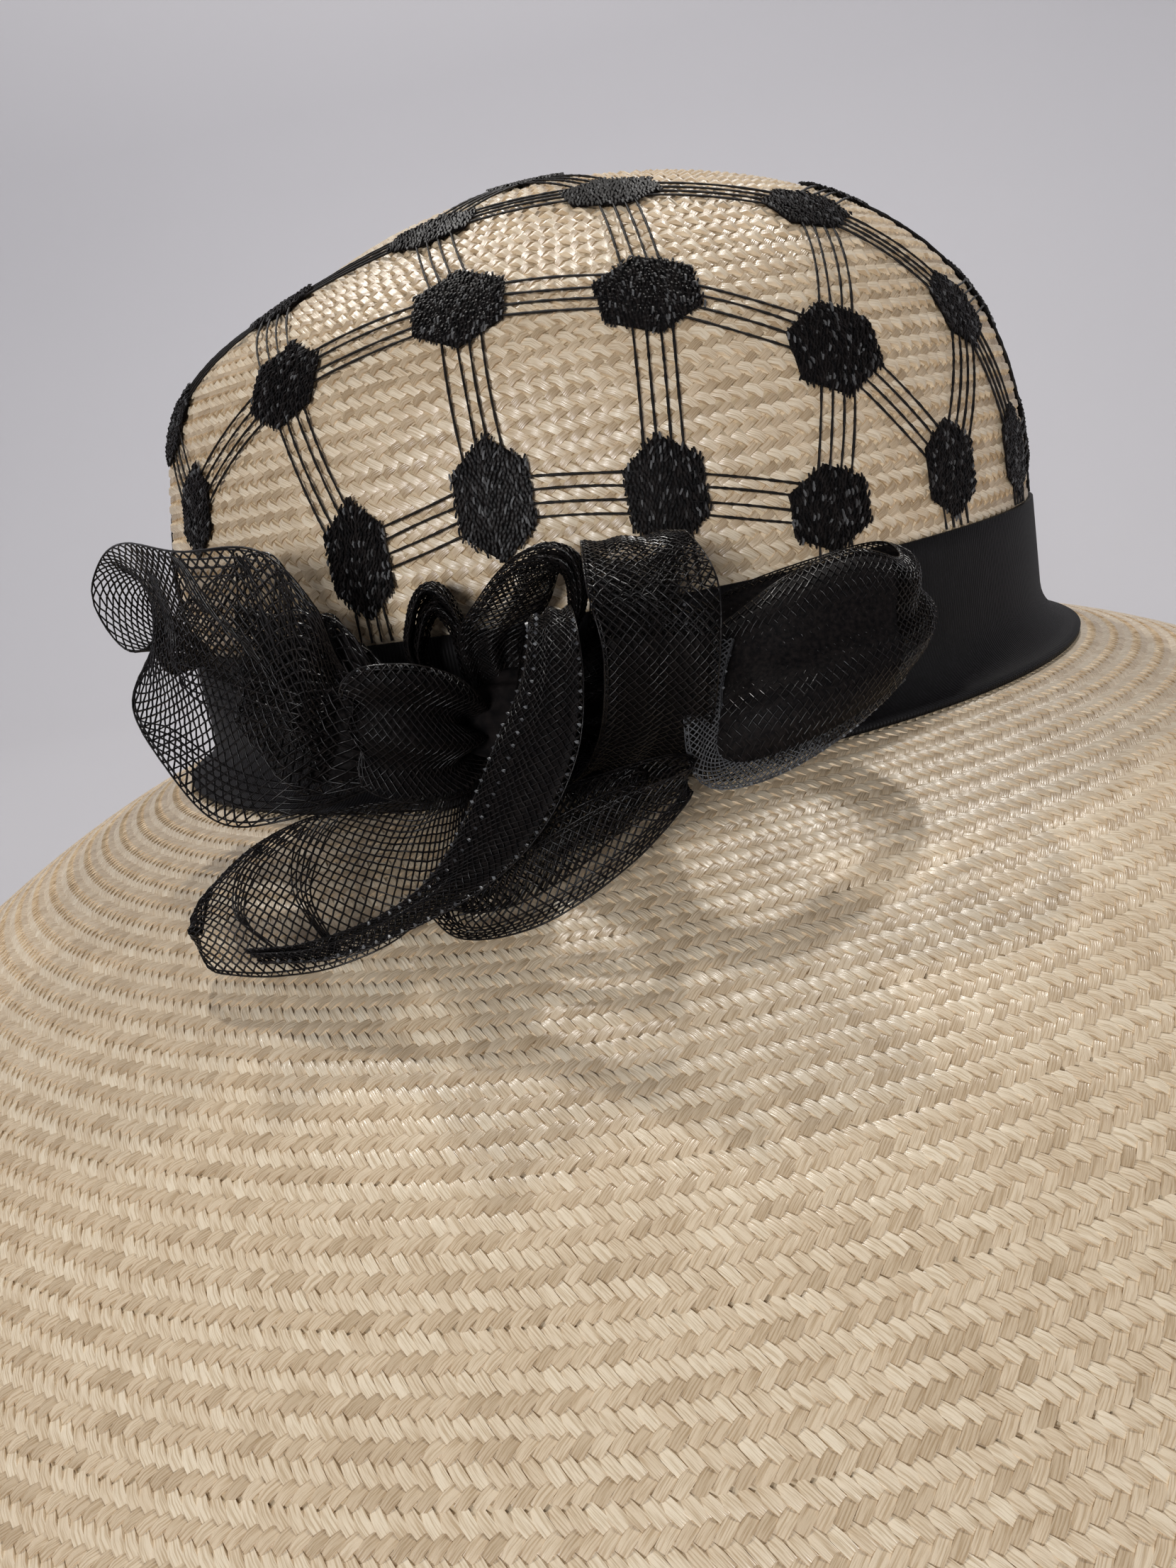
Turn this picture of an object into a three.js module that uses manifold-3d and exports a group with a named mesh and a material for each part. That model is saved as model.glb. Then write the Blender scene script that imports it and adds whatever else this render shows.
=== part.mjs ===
// A wide-brimmed straw capeline: a domed crown under a lace net, a flared ribbed band,
// a sloping brim and a bow of open-weave crinoline ribbon.
// Millimetres, +Z up. The rim stands on z = 0, the bow faces -Y, and the head's long axis is X.

import * as THREE from 'three';
import { mergeVertices } from 'three/addons/utils/BufferGeometryUtils.js';
import Module from 'manifold-3d';

// Driving sizes of the straw body
const CROWN_HALF_X = 97;
const CROWN_HALF_Y = 86;
const CROWN_RISE = 82;
const CROWN_SHOULDER = 0.72;
const CROWN_SWELL = 0.016;
const STRAW_WALL = 1.6;
const ROOT_RADIUS = 11;
const BRIM_WIDTH = 118;
const ROOT_SLOPE = THREE.MathUtils.degToRad(13.2);
const FAR_SLOPE = THREE.MathUtils.degToRad(44);
const SLOPE_REACH = 70;
const JOIN_RISE = 15;

// Hand-blocked bumps of the crown: where each is, how far it spreads and how far it stands out
const CROWN_BUMPS = [
  { azimuth: -82, level: 0.62, spread: 38, band: 0.16, out: 2.8 },
  { azimuth: -58, level: 0.86, spread: 42, band: 0.12, out: -2.6 },
];

// Band, lace and seating gap
const BAND_HEIGHT = 29.5;
const BAND_WALL = 1;
const SEAT_GAP = 0.3;
const LACE_LIFT = 0.5;
const LACE_WALL = 1;
const LACE_BAR_SINK = 0.28;
const LACE_BAR_WIDTH = 6.4;
const LACE_BAR_STEP = 18;
const LACE_BAR_ROOT = 0.3;
const LACE_HEM = 0.5;
const LACE_LONGEST_BAR = 46;

// Lace patches on the bow side: azimuth from -Y towards +X in degrees, rise above the band in mm, size,
// and the earlier patches of this table that bars of thread join each one to
const LACE_FRONT = [
  { azimuth: -50, rise: 29, wide: 12, tall: 18, bars: [] },
  { azimuth: -22, rise: 15, wide: 12, tall: 21, bars: [] },
  { azimuth: -6, rise: 21, wide: 13, tall: 21, bars: [1] },
  { azimuth: 11, rise: 17, wide: 13, tall: 19, bars: [2] },
  { azimuth: 28, rise: 9, wide: 15, tall: 15, bars: [3] },
  { azimuth: 46, rise: 11, wide: 13, tall: 18, bars: [] },
  { azimuth: 64, rise: 11, wide: 13, tall: 18, bars: [] },
  { azimuth: -63, rise: 46, wide: 15, tall: 17, bars: [0] },
  { azimuth: -32, rise: 47, wide: 15, tall: 17, bars: [0, 1] },
  { azimuth: -8, rise: 53, wide: 16, tall: 17, bars: [2, 8] },
  { azimuth: 14, rise: 49, wide: 17, tall: 16, bars: [3, 9] },
  { azimuth: 33, rise: 35, wide: 17, tall: 17, bars: [4, 5, 10] },
  { azimuth: 58, rise: 39, wide: 14, tall: 16, bars: [5, 6] },
  { azimuth: -50, rise: 65, wide: 16, tall: 15, bars: [7, 8] },
  { azimuth: -18, rise: 71, wide: 17, tall: 15, bars: [9, 13] },
  { azimuth: 17, rise: 70, wide: 17, tall: 15, bars: [10, 14] },
  { azimuth: 45, rise: 61, wide: 17, tall: 15, bars: [11, 12, 15] },
];

// Lace patches on the far side and on top, in evenly spaced rings
const LACE_RINGS = [
  { rise: 13, first: 82, last: 285, count: 9, wide: 13, tall: 18 },
  { rise: 43, first: 80, last: 275, count: 7, wide: 15, tall: 17 },
  { rise: 67, first: 75, last: 280, count: 5, wide: 16, tall: 15 },
  { rise: 80, first: 0, last: 240, count: 3, wide: 15, tall: 15 },
];

// Bow: where it is sewn on, its gathered knot, and its ribbon
const BOW_AZIMUTH = THREE.MathUtils.degToRad(-8);
const RIBBON_WALL = 1;
const RIBBON_ACROSS = 2;
const SECTIONS_PER_ROW = 2;
const KNOT = { right: 2, out: 9.7, up: 14, halfRight: 16, halfOut: 8.1, halfUp: 10 };

// Ribbon loops in the order in which they lie, the outermost first. Each row gives the ribbon's two
// edges in the bow's frame: mm to the right, mm out from the crown and mm above the brim's root.
const RIBBONS = [
  {
    name: 'bow_tail', belly: 0.5, rows: [
      { low: [4, 14, 18], high: [12, 15, 20] },
      { low: [11, 24, 31], high: [19, 27, 33] },
      { low: [14, 33, 32], high: [23, 39, 33] },
      { low: [13, 38, 26], high: [24, 45, 26] },
      { low: [9, 42, 19], high: [22, 48, 17] },
      { low: [4, 43, 11], high: [16, 50, 8] },
      { low: [-3, 45, 2], high: [7, 51, 1] },
      { low: [-13, 46, -4], high: [-5, 52, -4] },
      { low: [-26, 46, -7], high: [-19, 51, -8] },
      { low: [-37, 44, -8], high: [-32, 48, -9] },
    ],
  },
  {
    name: 'bow_loop_centre', belly: 2, rows: [
      { low: [8, 12, 9], high: [14, 10, 10] },
      { low: [14, 23, 7], high: [30, 20, 6] },
      { low: [22, 34, 16], high: [37, 29, 13] },
      { low: [26, 40, 28], high: [41, 34, 25] },
      { low: [25, 38, 38], high: [42, 32, 35] },
      { low: [22, 28, 44], high: [39, 22, 42] },
      { low: [20, 14, 41], high: [35, 11, 40] },
      { low: [18, 7, 31], high: [32, 4, 30] },
      { low: [14, 7, 22], high: [27, 3, 20] },
      { low: [8, 8, 17], high: [15, 7, 16] },
    ],
  },
  {
    name: 'bow_loop_left', belly: 4, rows: [
      { low: [-9, 11, 10], high: [-9, 10, 17] },
      { low: [-22, 14, 8], high: [-22, 14, 26] },
      { low: [-37, 21, 7], high: [-24, 27, 38] },
      { low: [-49, 20, 7], high: [-32, 30, 47] },
      { low: [-60, 14, 14], high: [-47, 26, 50] },
      { low: [-70, 4, 26], high: [-65, 10, 51] },
      { low: [-71, -6, 24], high: [-72, -4, 50] },
      { low: [-58, -5, 14], high: [-56, -3, 52] },
      { low: [-40, 1, 11], high: [-38, 3, 50] },
      { low: [-27, 5, 10], high: [-29, 6, 36] },
      { low: [-9, 7, 11], high: [-9, 7, 17] },
    ],
  },
  {
    name: 'bow_loop_right', belly: 3, rows: [
      { low: [12, 12, 11], high: [12, 10, 17] },
      { low: [27, 16, 8], high: [29, 9, 20] },
      { low: [35, 28, 6], high: [41, 15, 27] },
      { low: [45, 30, 7], high: [50, 16, 32] },
      { low: [56, 24, 9], high: [60, 11, 34] },
      { low: [66, 12, 13], high: [67, 6, 31] },
      { low: [69, 0, 17], high: [65, -2, 33] },
      { low: [57, -4, 12], high: [56, -6, 32] },
      { low: [40, 0, 10], high: [39, -1, 29] },
      { low: [26, 4, 10], high: [25, 3, 22] },
      { low: [13, 7, 12], high: [13, 6, 17] },
    ],
  },
  {
    name: 'bow_fold_left', belly: 1, rows: [
      { low: [-2, 14, 11], high: [-2, 13, 18] },
      { low: [-4, 25, 8], high: [0, 24, 23] },
      { low: [-11, 31, 9], high: [-4, 33, 29] },
      { low: [-16, 33, 13], high: [-13, 36, 31] },
      { low: [-20, 29, 16], high: [-18, 30, 29] },
      { low: [-20, 21, 13], high: [-17, 19, 27] },
      { low: [-14, 14, 11], high: [-13, 11, 21] },
      { low: [-8, 10, 12], high: [-8, 9, 17] },
    ],
  },
  {
    name: 'bow_loop_low_left', belly: -3, rows: [
      { low: [-4, 15, 9], high: [-6, 13, 12] },
      { low: [-5, 31, 0], high: [-12, 23, 8] },
      { low: [-9, 43, -7], high: [-21, 26, 8] },
      { low: [-19, 48, -10], high: [-31, 27, 7] },
      { low: [-31, 48, -11], high: [-41, 28, 3] },
      { low: [-42, 44, -10], high: [-47, 32, -3] },
      { low: [-47, 39, -9], high: [-49, 36, -6] },
    ],
  },
  {
    name: 'bow_loop_low_centre', belly: 1.5, rows: [
      { low: [2, 15, 8], high: [3, 13, 13] },
      { low: [3, 23, -1], high: [4, 21, 7] },
      { low: [12, 28, -3], high: [13, 26, 6] },
      { low: [22, 31, 0], high: [21, 29, 9] },
      { low: [31, 33, 5], high: [32, 31, 11] },
      { low: [34, 37, 6], high: [35, 36, 10] },
      { low: [25, 43, -1], high: [24, 41, 8] },
      { low: [12, 47, -7], high: [11, 43, 3] },
      { low: [-1, 45, -9], high: [0, 40, -3] },
    ],
  },
  {
    name: 'bow_loop_top', belly: 0.5, rows: [
      { low: [0, 5, 19], high: [1, 14, 19] },
      { low: [-1, 3, 29], high: [1, 17, 30] },
      { low: [3, 2.5, 36], high: [7, 20, 37] },
      { low: [8, 2.5, 41], high: [12, 21, 41] },
      { low: [13, 2.5, 42], high: [17, 21, 43] },
      { low: [16, 2.5, 38], high: [20, 20, 39] },
      { low: [15, 3, 31], high: [18, 18, 31] },
      { low: [11, 4, 25], high: [13, 16, 25] },
      { low: [7, 5, 18], high: [8, 13, 18] },
    ],
  },
  {
    name: 'bow_loop_upright', belly: 0.5, rows: [
      { low: [-8, 5, 18], high: [-7, 12, 18] },
      { low: [-15, 3, 27], high: [-12, 14, 28] },
      { low: [-14, 3, 34], high: [-10, 15, 35] },
      { low: [-11, 3, 38], high: [-7, 15, 39] },
      { low: [-8, 3, 38], high: [-4, 15, 38] },
      { low: [-6, 3, 33], high: [-2, 14, 33] },
      { low: [-5, 4, 27], high: [-3, 12, 26] },
      { low: [-4, 5, 19], high: [-3, 11, 19] },
    ],
  },
];

// Facets
const CROWN_SEGMENTS = 40;
const CROWN_LEVELS = 8;
const BRIM_SEGMENTS = 44;
const BRIM_STEPS = 7;
const ROOT_STEPS = 3;
const BAND_SEGMENTS = 40;
const KNOT_SEGMENTS = 10;

// Finishes
const STRAW = { color: 0xd8bd8e, roughness: 0.55, metalness: 0 };
const PETERSHAM = { color: 0x0b0b0c, roughness: 0.6, metalness: 0 };
const LACE_THREAD = { color: 0x121216, roughness: 0.75, metalness: 0 };
const CRINOLINE = { color: 0x0d1014, roughness: 0.4, metalness: 0 };

const wasm = await Module();
wasm.setup();

// Turning of the brim's slope and its drop, w mm out from the band's foot
function slopeAt(w) {
  return ROOT_SLOPE + (FAR_SLOPE - ROOT_SLOPE) * (1 - Math.exp(-w / SLOPE_REACH));
}

function brimDrop(w) {
  const steps = 60;
  let drop = 0;
  for (let k = 0; k < steps; k += 1) {
    drop += Math.tan(slopeAt((w * (k + 0.5)) / steps)) * (w / steps);
  }
  return drop;
}

const ROOT_Z = brimDrop(BRIM_WIDTH);
const ROOT_TURN = Math.PI / 2 - ROOT_SLOPE;
const ROOT_OUT = ROOT_RADIUS * (1 - Math.cos(ROOT_TURN));
const ROOT_RISE = ROOT_RADIUS * Math.sin(ROOT_TURN);
const BAND_TOP_Z = ROOT_Z + BAND_HEIGHT;

// The straw body's outer profile from the crown wall through the root's arc, as (out from the wall, z)
function rootArc() {
  const points = [];
  for (let k = 0; k <= ROOT_STEPS; k += 1) {
    const turn = (ROOT_TURN * k) / ROOT_STEPS;
    points.push(new THREE.Vector2(
      ROOT_RADIUS * (1 - Math.cos(turn)),
      ROOT_Z + ROOT_RISE - ROOT_RADIUS * Math.sin(turn),
    ));
  }
  return points;
}

function brimSlope() {
  const points = [];
  for (let k = 1; k <= BRIM_STEPS; k += 1) {
    const w = (BRIM_WIDTH * k) / BRIM_STEPS;
    points.push(new THREE.Vector2(ROOT_OUT + w, ROOT_Z - brimDrop(w)));
  }
  return points;
}

// The same line moved sideways: a positive distance moves it out of the straw
function shifted(line, distance) {
  return line.map((point, i) => {
    const before = line[Math.max(i - 1, 0)];
    const after = line[Math.min(i + 1, line.length - 1)];
    const along = after.clone().sub(before).normalize();
    return new THREE.Vector2(point.x - along.y * distance, point.y + along.x * distance);
  });
}

// Positions and triangles only, with shared corners merged and the faces turned outwards
function closed(geometry) {
  geometry.deleteAttribute('normal');
  geometry.deleteAttribute('uv');
  const merged = mergeVertices(geometry, 1e-4);
  const place = merged.attributes.position;
  const corner = [new THREE.Vector3(), new THREE.Vector3(), new THREE.Vector3()];
  const kept = [];
  let volume = 0;
  for (let k = 0; k < merged.index.count; k += 3) {
    const ids = [0, 1, 2].map((c) => merged.index.getX(k + c));
    if (new Set(ids).size === 3) {
      kept.push(ids);
      ids.forEach((id, c) => corner[c].fromBufferAttribute(place, id));
      volume += corner[0].dot(corner[1].cross(corner[2]));
    }
  }
  merged.setIndex(kept.flatMap((ids) => (volume > 0 ? ids : [ids[0], ids[2], ids[1]])));
  return merged;
}

function toSolid(geometry) {
  const vertProperties = new Float32Array(geometry.attributes.position.array);
  const triVerts = new Uint32Array(geometry.index.array);
  return new wasm.Manifold(new wasm.Mesh({ numProp: 3, vertProperties, triVerts }));
}

function toGeometry(solid) {
  const mesh = solid.getMesh();
  const geometry = new THREE.BufferGeometry();
  geometry.setAttribute('position', new THREE.BufferAttribute(new Float32Array(mesh.vertProperties), 3));
  geometry.setIndex(Array.from(mesh.triVerts));
  return geometry;
}

function mesh(name, geometry, finish) {
  const made = new THREE.Mesh(geometry, new THREE.MeshStandardMaterial(finish));
  made.name = name;
  return made;
}

// A profile turned about the head's oval: past the crown wall the oval keeps an even width all round
function ovalTurn(profile, segments) {
  const geometry = new THREE.LatheGeometry(profile, segments);
  const place = geometry.attributes.position;
  for (let k = 0; k < place.count; k += 1) {
    const radius = Math.hypot(place.getX(k), place.getZ(k));
    const inside = Math.min(radius, CROWN_HALF_X);
    const across = (inside * CROWN_HALF_Y) / CROWN_HALF_X + (radius - inside);
    const squeeze = radius > 0 ? across / radius : 0;
    place.setXYZ(k, place.getX(k), -place.getZ(k) * squeeze, place.getY(k));
  }
  return geometry;
}

// The crown's outer face: azimuth from -Y towards +X, and lift from 0 at the band to a right angle on top
function bumpAt(azimuth, level, round) {
  const fade = Math.min(1, 2 * round);
  return fade * CROWN_BUMPS.reduce((sum, bump) => {
    const turn = THREE.MathUtils.radToDeg(azimuth) - bump.azimuth;
    const away = THREE.MathUtils.euclideanModulo(turn + 180, 360) - 180;
    return sum + bump.out * Math.exp(-((away / bump.spread) ** 2) - ((level - bump.level) / bump.band) ** 2);
  }, 0);
}

function crownPoint(azimuth, lift) {
  const level = Math.sin(lift) ** CROWN_SHOULDER;
  const round = Math.cos(lift) * (1 + CROWN_SWELL * level);
  const stretch = 1 + bumpAt(azimuth, level, round) / CROWN_HALF_X;
  return new THREE.Vector3(
    CROWN_HALF_X * round * Math.sin(azimuth) * stretch,
    -CROWN_HALF_Y * round * Math.cos(azimuth) * stretch,
    BAND_TOP_Z + CROWN_RISE * level * stretch,
  );
}

function crownNormal(azimuth, lift) {
  const step = 0.01;
  const low = Math.min(Math.max(lift, step), Math.PI / 2 - 2 * step);
  const round = crownPoint(azimuth + step, low).sub(crownPoint(azimuth - step, low));
  const up = crownPoint(azimuth, low + step).sub(crownPoint(azimuth, low - step / 2));
  return round.cross(up).normalize();
}

function offCrown(azimuth, lift, out) {
  return crownPoint(azimuth, lift).addScaledVector(crownNormal(azimuth, lift), out);
}

// The place on the crown that a nearby point belongs to, as seen from the middle of the head
function crownPlace(point) {
  const azimuth = Math.atan2(point.x / CROWN_HALF_X, -point.y / CROWN_HALF_Y);
  const level = (point.z - BAND_TOP_Z) / CROWN_RISE;
  const round = Math.hypot(point.x / CROWN_HALF_X, point.y / CROWN_HALF_Y);
  let low = 0;
  let high = Math.PI / 2;
  for (let k = 0; k < 30; k += 1) {
    const lift = (low + high) / 2;
    const tryLevel = Math.sin(lift) ** CROWN_SHOULDER;
    const tryRound = Math.cos(lift) * (1 + CROWN_SWELL * tryLevel);
    if (tryLevel * round < level * tryRound) {
      low = lift;
    } else {
      high = lift;
    }
  }
  return { azimuth, lift: (low + high) / 2 };
}

function liftOfRise(rise) {
  return Math.asin(Math.min(rise / CROWN_RISE, 1) ** (1 / CROWN_SHOULDER));
}

// A closed body between two faces given as grids of points
function sheetBody(top, under) {
  const rows = top.length;
  const columns = top[0].length;
  const positions = [...top.flat(), ...under.flat()].flatMap((p) => p.toArray());
  const id = (layer, i, j) => (layer * rows + i) * columns + j;
  const index = [];
  const quad = (a, b, c, d) => index.push(a, b, c, a, c, d);
  for (let i = 0; i < rows - 1; i += 1) {
    for (let j = 0; j < columns - 1; j += 1) {
      quad(id(0, i, j), id(0, i + 1, j), id(0, i + 1, j + 1), id(0, i, j + 1));
      quad(id(1, i, j), id(1, i, j + 1), id(1, i + 1, j + 1), id(1, i + 1, j));
    }
    quad(id(0, i, 0), id(1, i, 0), id(1, i + 1, 0), id(0, i + 1, 0));
    quad(id(0, i, columns - 1), id(0, i + 1, columns - 1), id(1, i + 1, columns - 1), id(1, i, columns - 1));
  }
  for (let j = 0; j < columns - 1; j += 1) {
    quad(id(0, 0, j), id(0, 0, j + 1), id(1, 0, j + 1), id(1, 0, j));
    quad(id(0, rows - 1, j), id(1, rows - 1, j), id(1, rows - 1, j + 1), id(0, rows - 1, j + 1));
  }
  const geometry = new THREE.BufferGeometry();
  geometry.setAttribute('position', new THREE.Float32BufferAttribute(positions, 3));
  geometry.setIndex(index);
  return closed(geometry);
}

// Straw crown: a dome wall that ends just above the brim's collar, behind the band
function crown() {
  const foot = new THREE.Vector2(CROWN_HALF_X, ROOT_Z + JOIN_RISE + SEAT_GAP);
  const outer = [foot];
  for (let k = 0; k <= CROWN_LEVELS; k += 1) {
    const lift = ((Math.PI / 2) * k) / CROWN_LEVELS;
    const point = crownPoint(Math.PI / 2, lift);
    outer.push(new THREE.Vector2(Math.max(point.x, 0), point.z));
  }
  const inner = shifted(outer, STRAW_WALL);
  inner[0].y = foot.y;
  inner[CROWN_LEVELS + 1].set(0, outer[CROWN_LEVELS + 1].y - STRAW_WALL);
  const geometry = ovalTurn([...outer, ...inner.reverse(), foot], CROWN_SEGMENTS);
  const place = geometry.attributes.position;
  const point = new THREE.Vector3();
  for (let k = 0; k < place.count; k += 1) {
    point.fromBufferAttribute(place, k);
    const azimuth = Math.atan2(point.x / CROWN_HALF_X, -point.y / CROWN_HALF_Y);
    const level = Math.max((point.z - BAND_TOP_Z) / CROWN_RISE, 0);
    const round = Math.hypot(point.x / CROWN_HALF_X, point.y / CROWN_HALF_Y);
    const stretch = 1 + bumpAt(azimuth, level, round) / CROWN_HALF_X;
    place.setXYZ(k, point.x * stretch, point.y * stretch, BAND_TOP_Z + (point.z - BAND_TOP_Z) * stretch);
  }
  return mesh('crown', closed(geometry), STRAW);
}

// Straw brim: a short collar, the root's arc and a slope that steepens to a rim cut level with the floor
function brim() {
  const collar = new THREE.Vector2(0, ROOT_Z + JOIN_RISE);
  const top = [collar, ...rootArc(), ...brimSlope()];
  const under = shifted(top, -STRAW_WALL);
  under[0].y = collar.y;
  const rim = under[under.length - 1];
  rim.set(top[top.length - 1].x - STRAW_WALL / Math.sin(slopeAt(BRIM_WIDTH)), 0);
  top[top.length - 1].y = 0;
  const loop = [...top, ...under.reverse(), collar];
  const profile = loop.map((p) => new THREE.Vector2(CROWN_HALF_X + p.x, p.y));
  return mesh('brim', closed(ovalTurn(profile, BRIM_SEGMENTS)), STRAW);
}

// Ribbed band: a strip that follows the crown wall and flares out over the root
function band() {
  const top = new THREE.Vector2(0, BAND_TOP_Z);
  const line = [top, ...rootArc()];
  const inner = shifted(line, SEAT_GAP);
  const outer = shifted(line, SEAT_GAP + BAND_WALL);
  inner[0].y = top.y;
  outer[0].y = top.y;
  const loop = [...inner, ...outer.reverse(), inner[0]];
  const profile = loop.map((p) => new THREE.Vector2(CROWN_HALF_X + p.x, p.y));
  return mesh('hat_band', closed(ovalTurn(profile, BAND_SEGMENTS)), PETERSHAM);
}

// Lace patches: six-sided solid motifs, point up, laid on the crown
function lacePatches() {
  const rings = LACE_RINGS.flatMap((ring) => Array.from({ length: ring.count }, (_, k) => ({
    ...ring,
    azimuth: ring.first + ((ring.last - ring.first) * k) / (ring.count - 1),
  })));
  return [...LACE_FRONT, ...rings].map((row) => {
    const azimuth = THREE.MathUtils.degToRad(row.azimuth);
    const lift = liftOfRise(row.rise);
    const normal = crownNormal(azimuth, lift);
    const east = new THREE.Vector3(Math.cos(azimuth), Math.sin(azimuth), 0);
    east.addScaledVector(normal, -east.dot(normal)).normalize();
    const north = normal.clone().cross(east);
    return { ...row, centre: crownPoint(azimuth, lift), east, north };
  });
}

function onLace(point, out) {
  const place = crownPlace(point);
  return offCrown(place.azimuth, place.lift, out);
}

function patchBody(patch) {
  const rim = Array.from({ length: 6 }, (_, k) => {
    const turn = Math.PI / 2 + (Math.PI / 3) * k;
    return patch.centre.clone()
      .addScaledVector(patch.east, (Math.cos(turn) * patch.wide) / Math.sqrt(3))
      .addScaledVector(patch.north, (Math.sin(turn) * patch.tall) / 2);
  });
  const positions = [];
  [LACE_LIFT, LACE_LIFT + LACE_WALL].forEach((out) => {
    [patch.centre, ...rim].forEach((point) => positions.push(...onLace(point, out).toArray()));
  });
  const index = [];
  for (let k = 0; k < 6; k += 1) {
    const a = 1 + k;
    const b = 1 + ((k + 1) % 6);
    index.push(0, b, a, 7, 7 + a, 7 + b, a, b, 7 + b, a, 7 + b, 7 + a);
  }
  const geometry = new THREE.BufferGeometry();
  geometry.setAttribute('position', new THREE.Float32BufferAttribute(positions, 3));
  geometry.setIndex(index);
  return toSolid(closed(geometry));
}

// A bar of threads between two places on the crown, as one thin strip
function barBody(from, to) {
  const length = from.distanceTo(to);
  const steps = Math.ceil(length / LACE_BAR_STEP);
  const along = to.clone().sub(from).normalize();
  const top = [];
  const under = [];
  for (let k = 0; k <= steps; k += 1) {
    const middle = from.clone().lerp(to, k / steps);
    const place = crownPlace(middle);
    const side = along.clone().cross(crownNormal(place.azimuth, place.lift)).normalize();
    const edges = [-1, 1].map((s) => middle.clone().addScaledVector(side, (s * LACE_BAR_WIDTH) / 2));
    top.push(edges.map((edge) => onLace(edge, LACE_LIFT + LACE_WALL - LACE_BAR_SINK)));
    under.push(edges.map((edge) => onLace(edge, LACE_LIFT + LACE_BAR_SINK)));
  }
  return toSolid(sheetBody(top, under));
}

// A bar starts a little inside its patch
function barRoot(patch, towards) {
  const reach = Math.min(patch.wide, patch.tall) * LACE_BAR_ROOT;
  const way = towards.clone().sub(patch.centre).normalize();
  return patch.centre.clone().addScaledVector(way, reach);
}

// On the far side two patches are joined where no third one is nearer to both
function joined(patches, i, j) {
  if (j < LACE_FRONT.length) {
    return LACE_FRONT[j].bars.includes(i);
  }
  const [one, two] = [patches[i].centre, patches[j].centre];
  const apart = one.distanceTo(two);
  const between = patches.some((patch, k) => k !== i && k !== j
    && Math.max(patch.centre.distanceTo(one), patch.centre.distanceTo(two)) < apart);
  return apart < LACE_LONGEST_BAR && !between;
}

function laceBars(patches) {
  const bars = [];
  patches.forEach((two, j) => patches.slice(0, j).forEach((one, i) => {
    if (joined(patches, i, j)) {
      bars.push([barRoot(one, two.centre), barRoot(two, one.centre)]);
    }
  }));
  const lowest = patches.filter((patch) => patch.rise < CROWN_RISE / 4);
  lowest.forEach((patch) => {
    const foot = crownPoint(THREE.MathUtils.degToRad(patch.azimuth), liftOfRise(LACE_HEM));
    bars.push([barRoot(patch, foot), foot]);
  });
  return bars;
}

function laceNet() {
  const patches = lacePatches();
  const bodies = [
    ...patches.map(patchBody),
    ...laceBars(patches).map(([from, to]) => barBody(from, to)),
  ];
  const aboveBand = toSolid(closed(new THREE.BoxGeometry(
    3 * CROWN_HALF_X, 3 * CROWN_HALF_X, 2 * CROWN_RISE,
  ).translate(0, 0, BAND_TOP_Z + SEAT_GAP + CROWN_RISE)));
  const net = bodies.reduce((whole, body) => whole.add(body)).intersect(aboveBand);
  return mesh('lace_net', toGeometry(net), LACE_THREAD);
}

// The bow's own frame: right along the band, out from the crown, up
const BOW_RIGHT = new THREE.Vector3(Math.cos(BOW_AZIMUTH), Math.sin(BOW_AZIMUTH), 0);
const BOW_OUT = new THREE.Vector3(Math.sin(BOW_AZIMUTH), -Math.cos(BOW_AZIMUTH), 0);
const BOW_SEAT = new THREE.Vector3(
  CROWN_HALF_X * Math.sin(BOW_AZIMUTH), -CROWN_HALF_Y * Math.cos(BOW_AZIMUTH), ROOT_Z,
);

function bowPoint([right, out, up]) {
  return BOW_SEAT.clone()
    .addScaledVector(BOW_RIGHT, right)
    .addScaledVector(BOW_OUT, out)
    .add(new THREE.Vector3(0, 0, up));
}

// A ribbon between two smooth edges, bellied across its width; spare makes it thicker and wider
function ribbonBody(ribbon, spare) {
  const low = new THREE.CatmullRomCurve3(ribbon.rows.map((row) => bowPoint(row.low)));
  const high = new THREE.CatmullRomCurve3(ribbon.rows.map((row) => bowPoint(row.high)));
  const sections = (ribbon.rows.length - 1) * SECTIONS_PER_ROW;
  const top = [];
  const under = [];
  for (let k = 0; k <= sections; k += 1) {
    const u = k / sections;
    const edge = low.getPoint(u);
    const across = high.getPoint(u).sub(edge);
    const along = low.getTangent(u).add(high.getTangent(u)).normalize();
    const normal = across.clone().cross(along).normalize();
    const wider = spare / across.length();
    const points = Array.from({ length: RIBBON_ACROSS + 1 }, (_, j) => {
      const v = -wider + ((1 + 2 * wider) * j) / RIBBON_ACROSS;
      const bulge = ribbon.belly * 4 * v * (1 - v);
      return edge.clone().addScaledVector(across, v).addScaledVector(normal, -bulge);
    });
    const half = RIBBON_WALL / 2 + spare;
    top.push(points.map((p) => p.clone().addScaledVector(normal, half)));
    under.push(points.map((p) => p.clone().addScaledVector(normal, -half)));
  }
  return toSolid(sheetBody(top, under));
}

function knotBody(spare) {
  const ball = new THREE.SphereGeometry(1, KNOT_SEGMENTS, KNOT_SEGMENTS - 2);
  const place = ball.attributes.position;
  for (let k = 0; k < place.count; k += 1) {
    const point = bowPoint([
      KNOT.right + place.getX(k) * (KNOT.halfRight + spare),
      KNOT.out + place.getZ(k) * (KNOT.halfOut + spare),
      KNOT.up + place.getY(k) * (KNOT.halfUp + spare),
    ]);
    place.setXYZ(k, point.x, point.y, point.z);
  }
  return toSolid(closed(ball));
}

function largest(solid) {
  return solid.decompose().reduce((best, body) => (body.volume() > best.volume() ? body : best));
}

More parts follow.
